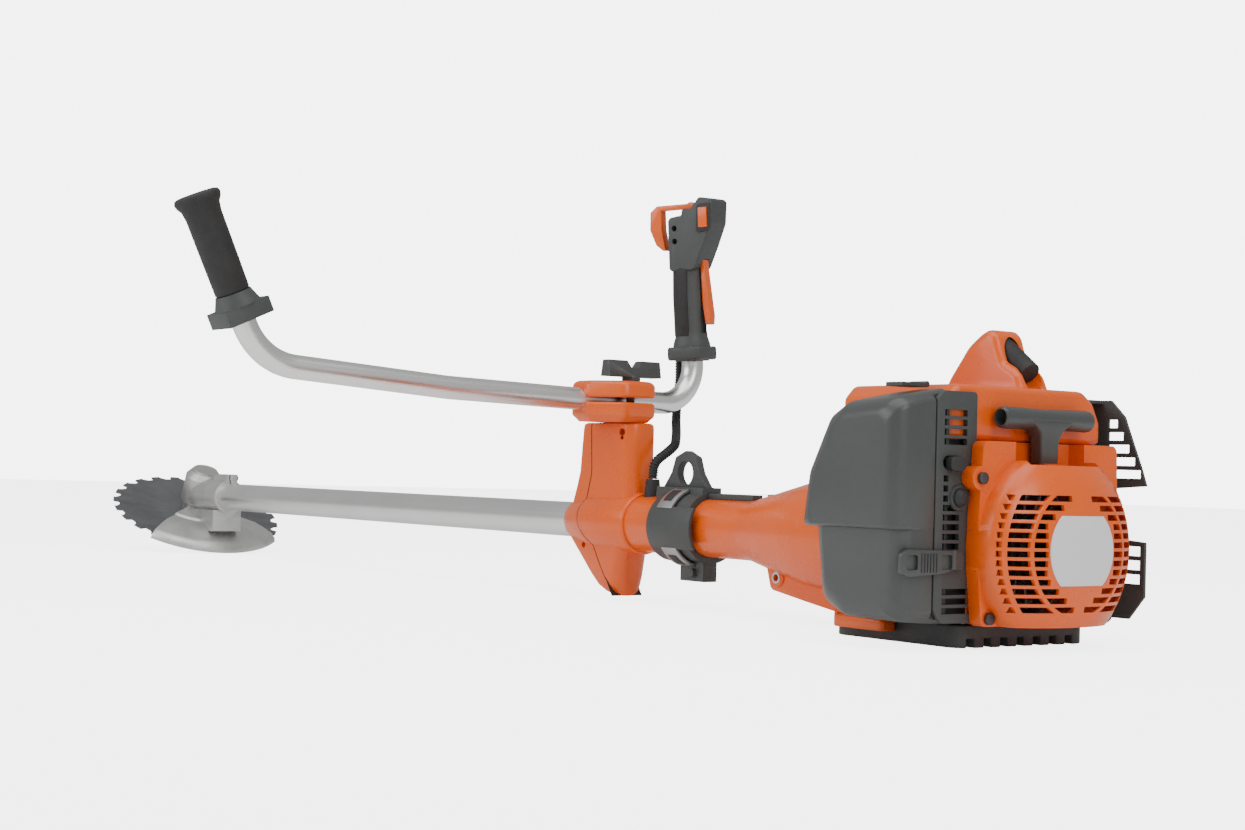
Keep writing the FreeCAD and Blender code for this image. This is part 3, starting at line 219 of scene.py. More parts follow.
def bladeSteel(name, centre, axis):
    # Ground steel under clear lacquer, with marks that run round the blade.
    w = Wiring(name)
    turn = Vector(axis).rotation_difference(Vector((0, 0, 1))).to_euler()
    mapping = w.add("ShaderNodeMapping")
    shift = w.add("ShaderNodeVectorMath")
    shift.operation = "SUBTRACT"
    w.tree.links.new(w.place, shift.inputs[0])
    shift.inputs[1].default_value = centre
    w.tree.links.new(shift.outputs["Vector"], mapping.inputs["Vector"])
    mapping.inputs["Rotation"].default_value = turn
    rings = w.add("ShaderNodeTexGradient")
    rings.gradient_type = "SPHERICAL"
    w.tree.links.new(mapping.outputs["Vector"], rings.inputs["Vector"])
    line = w.add("ShaderNodeTexNoise", Scale=900.0, Detail=3.0)
    line.noise_dimensions = "1D"
    w.tree.links.new(rings.outputs["Fac"], line.inputs["W"])
    w.join(w.ramp(w.noise(25.0, 5.0), [(0.25, (0.13, 0.135, 0.14)), (0.75, (0.20, 0.205, 0.21))]), "Base Color")
    w.join(w.span(line.outputs["Fac"], 0.33, 0.5), "Roughness")
    w.shader.inputs["Metallic"].default_value = 0.85
    w.bump(line.outputs["Fac"], 0.00002)
    return w.material


orangeColour = (0.80, 0.105, 0.0)
greyColour = (0.050, 0.056, 0.054)
orange = plastic("orangePlastic", orangeColour, 0.28, coat=0.15, spread=0.03)
orangeSatin = plastic("orangeSatin", shade(orangeColour, 0.97), 0.42, spread=0.05)
grey = plastic("greyPlastic", greyColour, 0.36, grain=0.00003, coat=0.1)
greySatin = plastic("greySatin", shade(greyColour, 0.95), 0.5, grain=0.00007)
# dark grey for the choke knob, the purge bulb and the switch surround; the same colour is painted shade in the sheet
# behind the vent slots and in the band links' windows
greyDark = plastic("greyShadow", (0.02, 0.021, 0.021), 0.6)
blackRubber = rubber("blackRubber", (0.022, 0.021, 0.021))
hoseRubber = rubber("hoseRubber", (0.016, 0.017, 0.017), 0.5)
tubeMetal = drawnMetal("drawnTube", (0.80, 0.80, 0.79), 0.3, 0)
barMetal = drawnMetal("drawnBar", (0.82, 0.82, 0.81), 0.27, 1)
castGear = castMetal("castGearcase", (0.60, 0.60, 0.585), 0.4)
castEngine = castMetal("castEngine", (0.45, 0.45, 0.44), 0.5)
brightSteel = drawnMetal("machinedSteel", (0.62, 0.62, 0.63), 0.28, 0)
darkSteel = castMetal("phosphatedSteel", (0.10, 0.10, 0.10), 0.45, 0.00005)
strapSteel = drawnMetal("strapSteel", (0.42, 0.43, 0.43), 0.42, 2)
labelWhite = plastic("labelWhite", (0.74, 0.74, 0.75), 0.35, grain=0.00001, spread=0.01)
foamBlack = rubber("filterFoam", (0.02, 0.02, 0.02), 0.9)
bushBronze = castMetal("bushBronze", (0.5, 0.34, 0.14), 0.45, 0.00005)

apex = Vector(joints["blade_spin"]["pos_m"])
bladeAxis = Vector(joints["blade_spin"]["axis"]).normalized()
bladeSheet = bladeSteel("bladeSheet", tuple(apex), tuple(bladeAxis))
print("materials ready")

# every CAD node gets a finish; the ones that are remade below are hidden later
finishes = [
    (greySatin, "foot_pad fuel_tank slide_rail band_clamp harness_eye left_collar throttle_handle_outer "
     "throttle_handle_inner starter_pulley muffler_guard vent_panel"),
    (grey, "fuel_cap clamp_knob pull_handle filter_cover cover_latch_side cover_latch_top"),
    (castEngine, "crankcase cylinder flywheel_fan carburettor"),
    (brightSteel, "piston_and_rod crankshaft clutch_drum ball_bearings drive_shaft output_spindle "
     "blade_flanges"),
    (darkSteel, "clutch_shoes bevel_pinion bevel_wheel recoil_spring muffler cover_screws"),
    (tubeMetal, "shaft_tube"),
    (bushBronze, "shaft_bushes"),
    (bladeSheet, "saw_blade"),
    (castGear, "blade_guard gear_housing"),
    (orange, "tower_rear tower_front clutch_housing throttle_trigger lock_lever stop_switch "
     "starter_housing top_cover"),
    (blackRubber, "tower_seal left_grip hose_boot plug_boot"),
    (orangeSatin, "clamp_base clamp_cap"),
    (barMetal, "handlebar"),
    (hoseRubber, "hose_upper hose_lower"),
    (foamBlack, "starter_rope air_filter"),
    (greyDark, "choke_knob purge_bulb"),
]
nodeFinish = {name: finish for finish, names in finishes for name in names.split()}
for name, finish in nodeFinish.items():
    mesh = nodes[name].data
    mesh.materials.clear()
    mesh.materials.append(finish)
    for face in mesh.polygons:
        face.use_smooth = False

# mesh helpers


def newPiece(name, verts, faces, material):
    mesh = bpy.data.meshes.new(name)
    mesh.from_pydata([tuple(v) for v in verts], [], faces)
    mesh.materials.append(material)
    obj = bpy.data.objects.new(name, mesh)
    bpy.context.scene.collection.objects.link(obj)
    return obj


def facingOut(obj):
    bm = bmesh.new()
    bm.from_mesh(obj.data)
    bmesh.ops.remove_doubles(bm, verts=bm.verts, dist=1e-6)
    bmesh.ops.recalc_face_normals(bm, faces=bm.faces)
    bm.to_mesh(obj.data)
    bm.free()
    return obj


def roundCorners(points, radii, steps=6):
    # Outline in two dimensions with each corner turned into an arc.
    count = len(points)
    if not hasattr(radii, "__len__"):
        radii = [radii] * count
    outline = []
    for i, radius in enumerate(radii):
        before, corner, after = (Vector(points[(i + k) % count]) for k in (-1, 0, 1))
        inWay, outWay = (before - corner), (after - corner)
        room = min(inWay.length, outWay.length) * 0.48
        inWay.normalize()
        outWay.normalize()
        half = inWay.angle(outWay) / 2
        reach = min(radius / math.tan(half), room) if radius else 0
        if reach < 1e-5 or half > math.pi / 2 - 0.02:
            outline.append(corner)
            continue
        trueRadius = reach * math.tan(half)
        middle = corner + (inWay + outWay).normalized() * (trueRadius / math.sin(half))
        start = corner + inWay * reach - middle
        turn = math.pi - 2 * half
        sign = 1 if start.x * (corner.y - middle.y) - start.y * (corner.x - middle.x) > 0 else -1
        for k in range(steps + 1):
            a = sign * turn * k / steps
            outline.append(middle + Vector((start.x * math.cos(a) - start.y * math.sin(a),
                                            start.x * math.sin(a) + start.y * math.cos(a))))
    return outline


axisMaps = {"x": lambda a, b, c: (c, a, b), "y": lambda a, b, c: (a, c, b), "z": lambda a, b, c: (a, b, c)}


def prism(name, outline, along, low, high, material, bevel=0.0, segments=3, angle=40):
    # Outline in millimetres pushed along an axis from low to high, edges rounded over.
    put = axisMaps[along]
    count = len(outline)
    verts = [[c * mm for c in put(p[0], p[1], level)] for level in (low, high) for p in outline]
    faces = [tuple(range(count)), tuple(range(2 * count - 1, count - 1, -1))]
    faces += [(i, i + count, (i + 1) % count + count, (i + 1) % count) for i in range(count)]
    obj = facingOut(newPiece(name, verts, faces, material))
    if bevel:
        softenEdges(obj, bevel, segments, angle)
    return obj


def applyMods(obj):
    # Bakes the modifiers into the mesh.
    graph = bpy.context.evaluated_depsgraph_get()
    mesh = bpy.data.meshes.new_from_object(obj.evaluated_get(graph), depsgraph=graph)
    obj.modifiers.clear()
    old = obj.data
    obj.data = mesh
    mesh.name = old.name
    bpy.data.meshes.remove(old)
    return obj


def softenEdges(obj, width, segments=3, angle=40):
    mod = obj.modifiers.new("edge", "BEVEL")
    mod.width = width * mm
    mod.segments = segments
    mod.limit_method = "ANGLE"
    mod.angle_limit = math.radians(angle)
    mod.use_clamp_overlap = True
    return applyMods(obj)


def lathe(name, profile, base, axis, material, steps=96):
    # Profile of (along, radius) in millimetres turned about an axis through base (metres).
    axis = Vector(axis).normalized()
    side = axis.orthogonal().normalized() if abs(axis.x) < 0.9 else Vector((0, 1, 0))
    other = axis.cross(side)
    verts, faces = [], []
    for i in range(steps):
        a = 2 * math.pi * i / steps
        way = side * math.cos(a) + other * math.sin(a)
        verts += [Vector(base) + (axis * along + way * radius) * mm for along, radius in profile]
    count = len(profile)
    for i in range(steps):
        j = (i + 1) % steps
        for k in range(count - 1):
            faces.append((i * count + k, i * count + k + 1, j * count + k + 1, j * count + k))
    return facingOut(newPiece(name, verts, faces, material))


def rodTool(name, radius, start, end, base, axis, steps=32, material=None):
    # Plain rod, mostly to cut a hole with.
    return lathe(name, [(start, 0), (start, radius), (end, radius), (end, 0)], base, axis, material or orange, steps)


def ringLoft(name, rings, material, closedEnds=True):
    # Skin over closed rings of equal length, in metres.
    count = len(rings[0])
    verts = [v for ring in rings for v in ring]
    faces = []
    for r in range(len(rings) - 1):
        for i in range(count):
            j = (i + 1) % count
            faces.append((r * count + i, r * count + j, (r + 1) * count + j, (r + 1) * count + i))
    if closedEnds:
        faces += [tuple(range(count - 1, -1, -1)), tuple((len(rings) - 1) * count + i for i in range(count))]
    return facingOut(newPiece(name, verts, faces, material))


def combine(obj, others, kind="UNION"):
    # Boolean with other meshes, which are used up.
    for other in others:
        mod = obj.modifiers.new("join", "BOOLEAN")
        mod.operation = kind
        mod.solver = "EXACT"
        mod.object = other
        applyMods(obj)
        bpy.data.objects.remove(other)
    return obj


def gather(name, pieces):
    # One object from several, each keeping its own material.
    for piece in pieces:
        piece.data = piece.data.copy()
    with bpy.context.temp_override(active_object=pieces[0], selected_editable_objects=pieces):
        bpy.ops.object.join()
    pieces[0].name = name
    return pieces[0]


def smooth(obj, angle=35):
    mesh = obj.data
    mesh.polygons.foreach_set("use_smooth", [True] * len(mesh.polygons))
    mesh.set_sharp_from_angle(angle=math.radians(angle))
    return obj


def done(obj, body, slot, *replaced, angle=35):
    smooth(obj, angle)
    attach(obj, body)
    if replaced:
        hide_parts(*replaced)
    return obj


# Geometry Nodes: boxes repeated along a step


def blankTree(name, inputs):
    # Node tree with a geometry, the given inputs and a finish.
    tree = bpy.data.node_groups.new(name, "GeometryNodeTree")
    for label, kind in (("Geometry", "Geometry"), *inputs.items(), ("Finish", "Material")):
        tree.interface.new_socket(label, in_out="INPUT", socket_type="NodeSocket" + kind)
    tree.interface.new_socket("Geometry", in_out="OUTPUT", socket_type="NodeSocketGeometry")
    return tree, tree.nodes.new("NodeGroupInput")


def finishTree(tree, given, copies):
    # Makes the copies real and gives them their finish.
    link = tree.links.new
    real, paint, result = (tree.nodes.new(kind) for kind in (
        "GeometryNodeRealizeInstances", "GeometryNodeSetMaterial", "NodeGroupOutput"))
    link(copies.outputs["Instances"], real.inputs["Geometry"])
    link(real.outputs["Geometry"], paint.inputs["Geometry"])
    link(given.outputs["Finish"], paint.inputs["Material"])
    link(paint.outputs["Geometry"], result.inputs["Geometry"])
    return tree


def runTree(obj, tree, **values):
    # Adds the tree to an object with the values of its inputs.
    mod = obj.modifiers.new("nodes", "NODES")
    mod.node_group = tree
    for item in tree.interface.items_tree:
        if item.in_out == "INPUT" and item.name in values:
            mod[item.identifier] = values[item.name]


def boxRowTree():
    # Node tree that repeats a box along a step and joins the copies.
    tree, given = blankTree("row of boxes", dict(Count="Int", Start="Vector", Step="Vector", Size="Vector"))
    add, link = tree.nodes.new, tree.links.new
    line = add("GeometryNodeMeshLine")
    line.mode = "OFFSET"
    link(given.outputs["Count"], line.inputs["Count"])
    link(given.outputs["Start"], line.inputs["Start Location"])
    link(given.outputs["Step"], line.inputs["Offset"])
    solid = add("GeometryNodeMeshCube")
    link(given.outputs["Size"], solid.inputs["Size"])
    copies = add("GeometryNodeInstanceOnPoints")
    link(line.outputs["Mesh"], copies.inputs["Points"])
    link(solid.outputs["Mesh"], copies.inputs["Instance"])
    return finishTree(tree, given, copies)


rowTree = boxRowTree()


def row(name, count, start, step, size, material):
    # Repeated boxes, sizes in millimetres.
    obj = newPiece(name, [], [], material)
    start, step, size = ([c * mm for c in given] for given in (start, step, size))
    runTree(obj, rowTree, Count=count, Start=start, Step=step, Size=size, Finish=material)
    return applyMods(obj)


print("helpers ready")

nodeBody = {node: body for body, names in frame["record"]["behaviour"]["bodies"].items() for node in names}
nodeSlot = {part["node"]: part["material_slot"] for part in frame["record"]["subparts"]}


def doneFor(obj, node, angle=35):
    # Finished remake of a CAD node, on its body.
    return done(obj, nodeBody[node], nodeSlot[node], node, angle=angle)


def cadCopy(node, name):
    # Welded copy of a CAD node, flat faces made whole again.
    mesh = nodes[node].data.copy()
    mesh.name = name
    obj = bpy.data.objects.new(name, mesh)
    bpy.context.scene.collection.objects.link(obj)
    bm = bmesh.new()
    bm.from_mesh(mesh)
    bmesh.ops.remove_doubles(bm, verts=bm.verts, dist=1e-5)
    bmesh.ops.dissolve_limit(bm, angle_limit=math.radians(0.1), verts=bm.verts, edges=bm.edges)
    bmesh.ops.recalc_face_normals(bm, faces=bm.faces)
    bm.to_mesh(mesh)
    bm.free()
    mesh.materials.clear()
    mesh.materials.append(nodeFinish[node])
    return obj


# covers and castings whose edges are only rounded over: edge width in millimetres

roundedNodes = {
    "foot_pad": 1.2, "fuel_tank": 2.5, "fuel_cap": 1.0, "crankcase": 1.5, "blade_guard": 0.8,
    "gear_housing": 1.5, "saw_blade": 0.25, "blade_flanges": 0.6, "starter_housing": 1.0,
    "muffler_guard": 1.0, "muffler": 2.0, "plug_boot": 1.0,
    "cover_screws": 0.4, "cover_latch_top": 0.7, "choke_knob": 1.0, "purge_bulb": 0.8,
    "tower_seal": 0.2, "clamp_knob": 2.0,
    "band_clamp": 1.0, "harness_eye": 1.6, "slide_rail": 0.8, "hose_boot": 0.6, "left_collar": 2.4,
    "throttle_trigger": 1.5, "lock_lever": 0.8,
    "stop_switch": 0.7,
}


def camel(node):
    first, *rest = node.split("_")
    return first + "".join(word.capitalize() for word in rest)


for node, width in roundedNodes.items():
    shell = softenEdges(cadCopy(node, camel(node) + "Shell"), width, 3, 32)
    doneFor(shell, node, 38)
print("rounded pieces ready")

# tubes that follow a route


def arcRoute(points, radii, step=4.0):
    # Points along straight runs joined by arcs, about a step apart.
    route = [Vector(points[0])]
    for before, corner, after, radius in zip(points, points[1:], points[2:], radii):
        before, corner, after = Vector(before), Vector(corner), Vector(after)
        back, on = (before - corner).normalized(), (after - corner).normalized()
        half = (math.pi - back.angle(on)) / 2
        if half < 1e-3:
            continue
        reach = radius * math.tan(half)
        centre = corner + (back + on).normalized() * (radius / math.cos(half))
        first, last = corner + back * reach - centre, corner + on * reach - centre
        count = max(4, int(2 * half * radius / step))
        turn = first.angle(last)
        for k in range(count + 1):
            share = k / count
            swing = first * math.sin((1 - share) * turn) + last * math.sin(share * turn)
            route.append(centre + swing / math.sin(turn))
    route.append(Vector(points[-1]))
    return route


def spread(route, step):
    # Same route with points at equal steps.
    gaps = [(b - a).length for a, b in zip(route, route[1:])]
    total = sum(gaps)
    count = max(2, round(total / step))
    result, i, passed = [], 0, 0.0
    for k in range(count + 1):
        target = total * k / count
        while i < len(gaps) - 1 and passed + gaps[i] < target:
            passed += gaps[i]
            i += 1
        result.append(route[i].lerp(route[i + 1], min(1.0, (target - passed) / gaps[i]) if gaps[i] else 0))
    return result


def tubeAlong(name, route, radius, material, inner=0.0, sides=48):
    # Round tube on a route in millimetres; with an inner radius its ends are open.
    last = len(route) - 1
    ways = [(route[min(i + 1, last)] - route[max(i - 1, 0)]).normalized() for i in range(last + 1)]
    side = ways[0].orthogonal().normalized()
    frames = []
    for way in ways:
        side = (side - way * side.dot(way)).normalized()
        frames.append((side.copy(), way.cross(side)))

    def ring(i, r):
        a, b = frames[i]
        turns = [2 * math.pi * k / sides for k in range(sides)]
        return [(route[i] + a * (r * math.cos(t)) + b * (r * math.sin(t))) * mm for t in turns]

    rings = [ring(i, radius) for i in range(last + 1)]
    if inner:
        rings += [ring(i, inner) for i in range(last, -1, -1)] + [rings[0]]
        return ringLoft(name, rings, material, closedEnds=False)
    return ringLoft(name, [ring(0, radius - 0.6)] + rings[1:-1] + [ring(last, radius - 0.6)], material)


shaft = dict(front=-1385.0, rear=-258.0, level=75.0, outer=17.5, inner=15.9, edge=0.5)


def makeShaft(s):
    length = s["rear"] - s["front"]
    edge = s["edge"]
    profile = [(0, s["inner"]), (0, s["outer"] - edge), (edge, s["outer"]), (length - edge, s["outer"]),
               (length, s["inner"]), (0, s["inner"])]
    tube = lathe("shaftTubeSkin", profile, (s["front"] * mm, 0, s["level"] * mm), (1, 0, 0), tubeMetal, 128)
    doneFor(tube, "shaft_tube")


makeShaft(shaft)

bar = dict(x=-470.0, level=194.4, radius=11.0, rightY=95.0, lean=4.2, riser=138.0, clampLeft=-46.0,
           leftY=-388.0, leftRise=17.2, gripLean=24.6, gripBase=65.0, gripLength=88.0, wall=2.0,
           middle=(-195, 4), bends=[38, 300, 400, 58])
leftUp = Vector((0, -math.sin(math.radians(bar["gripLean"])), math.cos(math.radians(bar["gripLean"]))))
rightUp = Vector((0, -math.sin(math.radians(bar["lean"])), math.cos(math.radians(bar["lean"]))))
rightFoot = Vector((bar["x"], bar["rightY"], bar["level"]))
leftCorner = Vector((bar["x"], bar["leftY"], bar["level"] + bar["leftRise"]))
leftGripBase = leftCorner + leftUp * bar["gripBase"]


def makeHandlebar(b):
    points = [rightFoot + rightUp * b["riser"], rightFoot, (b["x"], b["clampLeft"] - 4, b["level"]),
              (b["x"], b["middle"][0], b["level"] + b["middle"][1]), leftCorner,
              leftGripBase + leftUp * (b["gripLength"] - 6)]
    route = arcRoute(points, b["bends"])
    tube = tubeAlong("handlebarTube", route, b["radius"], barMetal, b["radius"] - b["wall"])
    doneFor(tube, "handlebar")


makeHandlebar(bar)


# ribbed cable hose


def ringsTree():
    # Node tree that sets short discs along a curve.
    tree, given = blankTree("rings along a curve", dict(Spacing="Float", Radius="Float", Width="Float"))
    add, link = tree.nodes.new, tree.links.new
    spots = add("GeometryNodeCurveToPoints")
    spots.mode = "LENGTH"
    link(given.outputs["Geometry"], spots.inputs["Curve"])
    link(given.outputs["Spacing"], spots.inputs["Length"])
    disc = add("GeometryNodeMeshCylinder")
    disc.inputs["Vertices"].default_value = 28
    link(given.outputs["Radius"], disc.inputs["Radius"])
    link(given.outputs["Width"], disc.inputs["Depth"])
    copies = add("GeometryNodeInstanceOnPoints")
    link(spots.outputs["Points"], copies.inputs["Points"])
    link(spots.outputs["Rotation"], copies.inputs["Rotation"])
    link(disc.outputs["Mesh"], copies.inputs["Instance"])
    return finishTree(tree, given, copies)


ringTree = ringsTree()


def ringsAlong(name, route, spacing, radius, width, material):
    curve = bpy.data.curves.new(name, "CURVE")
    curve.dimensions = "3D"
    spline = curve.splines.new("POLY")
    spline.points.add(len(route) - 1)
    for point, place in zip(spline.points, route):
        point.co = (*(place * mm), 1)
    source = bpy.data.objects.new(name + "Line", curve)
    bpy.context.scene.collection.objects.link(source)
    runTree(source, ringTree, Spacing=spacing * mm, Radius=radius * mm, Width=width * mm, Finish=material)
    graph = bpy.context.evaluated_depsgraph_get()
    mesh = bpy.data.meshes.new_from_object(source.evaluated_get(graph), depsgraph=graph)
    obj = bpy.data.objects.new(name, mesh)
    bpy.context.scene.collection.objects.link(obj)
    bpy.data.objects.remove(source)
    return obj


hoseSize = dict(radius=4.7, groove=3.9, pitch=2.6, ring=1.5, edge=0.4, side=-17.0, bootX=-409.0)


def makeHose(name, points, h):
    radii = []
    for before, corner, after in zip(points, points[1:], points[2:]):
        half = (math.pi - (before - corner).angle(after - corner)) / 2
        run = min((before - corner).length, (after - corner).length)
        radii.append(0.45 * run / math.tan(half))
    route = spread(arcRoute(points, radii, 1.0), 1.2)
    core = tubeAlong(name, route, h["groove"], hoseRubber, sides=28)
    rings = softenEdges(ringsAlong(name + "Rings", route, h["pitch"], h["radius"], h["ring"], hoseRubber),
                        h["edge"], 2)
    return gather(name, [core, rings])


hoseSide = bar["x"] + hoseSize["side"]
bootX = hoseSize["bootX"]
riserTilt = Matrix.Rotation(math.radians(bar["lean"]), 3, "X")
upperHose = makeHose("hoseUpperSleeve", [
    rightFoot + riserTilt @ Vector((-17, -3, 44.6)), rightFoot + riserTilt @ Vector((-17.5, -3.5, 26)),
    Vector((hoseSide, bar["rightY"] - 8, bar["level"] + 3)),
], hoseSize)
doneFor(upperHose, "hose_upper")
lowerHose = makeHose("hoseLowerSleeve", [
    Vector((hoseSide, 87, bar["level"] + 1.4)), Vector((hoseSide + 4, 83, bar["level"] - 16)),
    Vector((hoseSide + 34, 61, bar["level"] - 32)), Vector((bootX + 2, 24, bar["level"] - 44)),
    Vector((bootX, 1, bar["level"] - 60)), Vector((bootX, 0, bar["level"] - 75)),
], hoseSize)
smooth(lowerHose)
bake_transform(lowerHose)
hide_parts("hose_lower")
print("tubes and hoses ready")

# filter cover: two rounded shells, the lower one set in under a ledge

filterShape = dict(
    seam=-96.0, face=-150.0, lowerLevel=-144.0, corner=14.0, skin=2.6, middle=(28, 105), half=(52, 85), edge=0.9,
    drops=(14.0, 9, 5.5, 2.8, 1.0, 0.2, 0), panelGap=[(75.6, -110.4), (90, -110.4), (90, -90), (75.6, -90)],
    upperSeam=[(-20, 178), (26, 192), (72, 194), (80, 187), (80, 88), (-38, 88), (-34, 132)],
    upperFace=[(4, 171), (18, 181), (72, 185), (80, 178), (80, 88), (-27, 88), (-20, 130)],
    lowerSeam=[(-32, 92), (80, 92), (80, 26), (72, 19), (0, 19), (-26, 30)],
    lowerFace=[(-16, 92), (79, 92), (79, 29), (70, 22), (14, 23), (-7, 34)],
    upperRadii=[14, 10, 8, 6, 3, 4, 20], lowerRadii=[3, 3, 6, 6, 16, 12],
)


def coverShell(name, seam, face, radii, outerLevel, inset, f):
    # Closed skin from the seam to the outer face, whose rim is rounded; inset draws it in for the inside.
    rings = []
    levels = [(f["seam"] + (1 if inset else 0), 0, 0)]
    depth = f["seam"] - outerLevel
    for drop in f["drops"]:
        rim = f["corner"] - math.sqrt(f["corner"] ** 2 - (f["corner"] - drop) ** 2)
        levels.append((outerLevel + drop + inset, 1 - drop / depth, rim))
    for level, share, rim in levels:
        points = []
        for a, b in zip(seam, face):
            x, z = (a[k] + (b[k] - a[k]) * share for k in (0, 1))
            away = (x - f["middle"][0], z - f["middle"][1])
            points.append(tuple(f["middle"][k] + away[k] * (1 - (rim + inset) / f["half"][k]) for k in (0, 1)))
        rings.append([Vector((p[0], level, p[1])) * mm for p in roundCorners(points, radii, 5)])
    return ringLoft(name, rings, grey)


def makeFilterCover(f):
    solids = []
    for inset, label in ((0, "filterCoverSkin"), (f["skin"], "filterCoverRoom")):
        upper = coverShell(label, f["upperSeam"], f["upperFace"], f["upperRadii"], f["face"], inset, f)
        lower = coverShell(label + "Low", f["lowerSeam"], f["lowerFace"], f["lowerRadii"], f["lowerLevel"], inset, f)
        solids.append(combine(upper, [lower]))
    outside, room = solids
    gap = prism("panelGap", f["panelGap"], "z", 10, 200, grey)
    combine(outside, [room, gap], "DIFFERENCE")
    softenEdges(outside, f["edge"], 3, 42)
    doneFor(outside, "filter_cover")


makeFilterCover(filterShape)

# top cover with its hood

topShape = dict(
    front=-42.0, rear=75.6, edge=5.0, hoodSide=(5.0, 39.0), hoodEdge=6.0,
    section=[(-92, 156), (-92, 188), (-82, 198), (56, 198), (68, 189), (76, 174), (76, 156)],
    hood=[(-34, 190), (-23, 209), (-3, 234), (10, 243), (20, 247), (27, 241), (30, 232), (35, 220), (45, 215),
          (51, 209), (60, 190)],
    hoodRadii=[0, 30, 30, 20, 10, 10, 12, 6, 10, 8, 0], sectionRadii=[0, 8, 8, 14, 14, 14, 0],
    mouthWay=(0.8, 0, -0.6), mouthStart=(14, 237.2), mouthRadius=10.4, mouthLength=60,
)


def makeTopCover(t):
    section = roundCorners(t["section"], t["sectionRadii"], 6)
    cover = prism("topCoverSkin", section, "x", t["front"], t["rear"], orange, t["edge"], 4, 50)
    hoodLine = roundCorners(t["hood"], t["hoodRadii"], 6)
    hood = prism("hoodSkin", hoodLine, "y", *t["hoodSide"], orange, t["hoodEdge"], 4, 60)
    start = Vector((t["mouthStart"][0], sum(t["hoodSide"]) / 2, t["mouthStart"][1])) * mm
    mouth = rodTool("bootMouth", t["mouthRadius"], 0, t["mouthLength"], start, t["mouthWay"], 48)
    combine(cover, [hood])
    combine(cover, [mouth], "DIFFERENCE")
    softenEdges(cover, 0.8, 2, 40)
    doneFor(cover, "top_cover")


makeTopCover(topShape)

# plain plate on the starter

plateShape = dict(radius=34.6, low=49.5, high=101.7, level=75.6, face=(124.6, 125.9), steps=16)


def makePlate(p):
    points = []
    for side in (1, -1):
        top, bottom = (p["high"], p["low"]) if side > 0 else (p["low"], p["high"])
        for k in range(p["steps"] + 1):
            z = top + (bottom - top) * k / p["steps"]
            points.append((side * math.sqrt(p["radius"] ** 2 - (z - p["level"]) ** 2), z))
    plate = prism("labelPlate", points, "x", *p["face"], labelWhite, 0.5, 3, 50)
    done(plate, "root", "bare_aluminium")


makePlate(plateShape)
print("covers ready")

# vent panel between the orange body and the filter cover

ventShape = dict(
    level=(76, 80), edge=0.7, radii=[6, 5, 2, 1, 3, 3, 1, 3, 5, 4],
    face=[(-108.8, 30), (-100, 20), (-67, 20), (-67, 118), (-76, 120), (-76, 137), (-67, 139), (-67, 192),
          (-102, 192), (-108.8, 186)],
    back=[(-24, 30), (76, 22), (76, 190), (26, 188), (-18, 175), (-32, 132), (-36, 92), (-28, 80)],
    backSide=(-95.4, -92.4), slotMiddle=78, slotDepth=9,
    slots=[  # name, count, lowest middle, step, two sides, height of a slot
        ("upperSlots", 4, 154.4, 7.1, -101, -77.5, 4.7), ("middleSlots", 5, 76.9, 7.1, -101, -84, 4.6),
        ("lowerSlots", 3, 29.3, 7.05, -100, -69, 4.6), ("sideHoles", 3, 112.2, 7.4, -101, -96, 4.6)],
    chokeHole=[(-102, 134), (-83.5, 134), (-83.5, 144), (-102, 144)], chokeCorner=4.9, chokeCut=(74, 82),
    purgeRing=[(0, 6.9), (0, 10), (1.6, 9.4), (1.6, 7.1), (0, 6.9)], purgePlace=(0.0798, -0.085, 0.113),
    shadow=[(-106, 24), (-68, 24), (-68, 187), (-106, 187)], shadowLevel=(71, 72.5), roomLength=20,
    rooms=[("purgeRoom", 8, (0.062, -0.085, 0.113)), ("chokeRoom", 5, (0.062, -0.092, 0.138))],
)


def makeVentPanel(v):
    panel = prism("ventPanelSkin", roundCorners(v["face"], v["radii"], 4), "x", *v["level"], greySatin, v["edge"])
    back = prism("ventBack", v["back"], "y", *v["backSide"], greySatin)
    cutters = [row(label, count, (v["slotMiddle"], (a + b) / 2, z), (0, 0, step), (v["slotDepth"], b - a, high),
                   greySatin) for label, count, z, step, a, b, high in v["slots"]]
    oval = roundCorners(v["chokeHole"], v["chokeCorner"], 6)
    cutters.append(prism("chokeHole", oval, "x", *v["chokeCut"], greySatin))
    combine(panel, cutters, "DIFFERENCE")
    ring = lathe("purgeRing", v["purgeRing"], v["purgePlace"], (1, 0, 0), greySatin)
    shadow = prism("ventShadow", v["shadow"], "x", *v["shadowLevel"], greyDark)
    rooms = [rodTool(label, radius, 0, v["roomLength"], place, (1, 0, 0), 96, greyDark)
             for label, radius, place in v["rooms"]]
    combine(shadow, rooms, "DIFFERENCE")
    doneFor(gather("ventPanelSkin", [panel, back, ring, shadow]), "vent_panel")


makeVentPanel(ventShape)

# pull handle

pullShape = dict(
    place=(86.0, 0, 174.0), edge=0.6, corner=3.4, socketSide=-50.0,
    grip=[(-49, 0), (-49, 6.6), (-47.5, 8.1), (-44, 8.6), (0, 7.7), (44, 8.6), (47.5, 8.0), (49, 6.1), (49, 0)],
    socket=[(0, 0), (0, 6.2), (12, 5.6), (12, 0)],
    stem=[  # height, half length, half width
        (140.5, 6.6, 9.8), (154, 6.8, 9.8), (160, 7.2, 11), (164, 7.6, 13.5), (168, 8, 18), (172, 8.2, 24)],
)


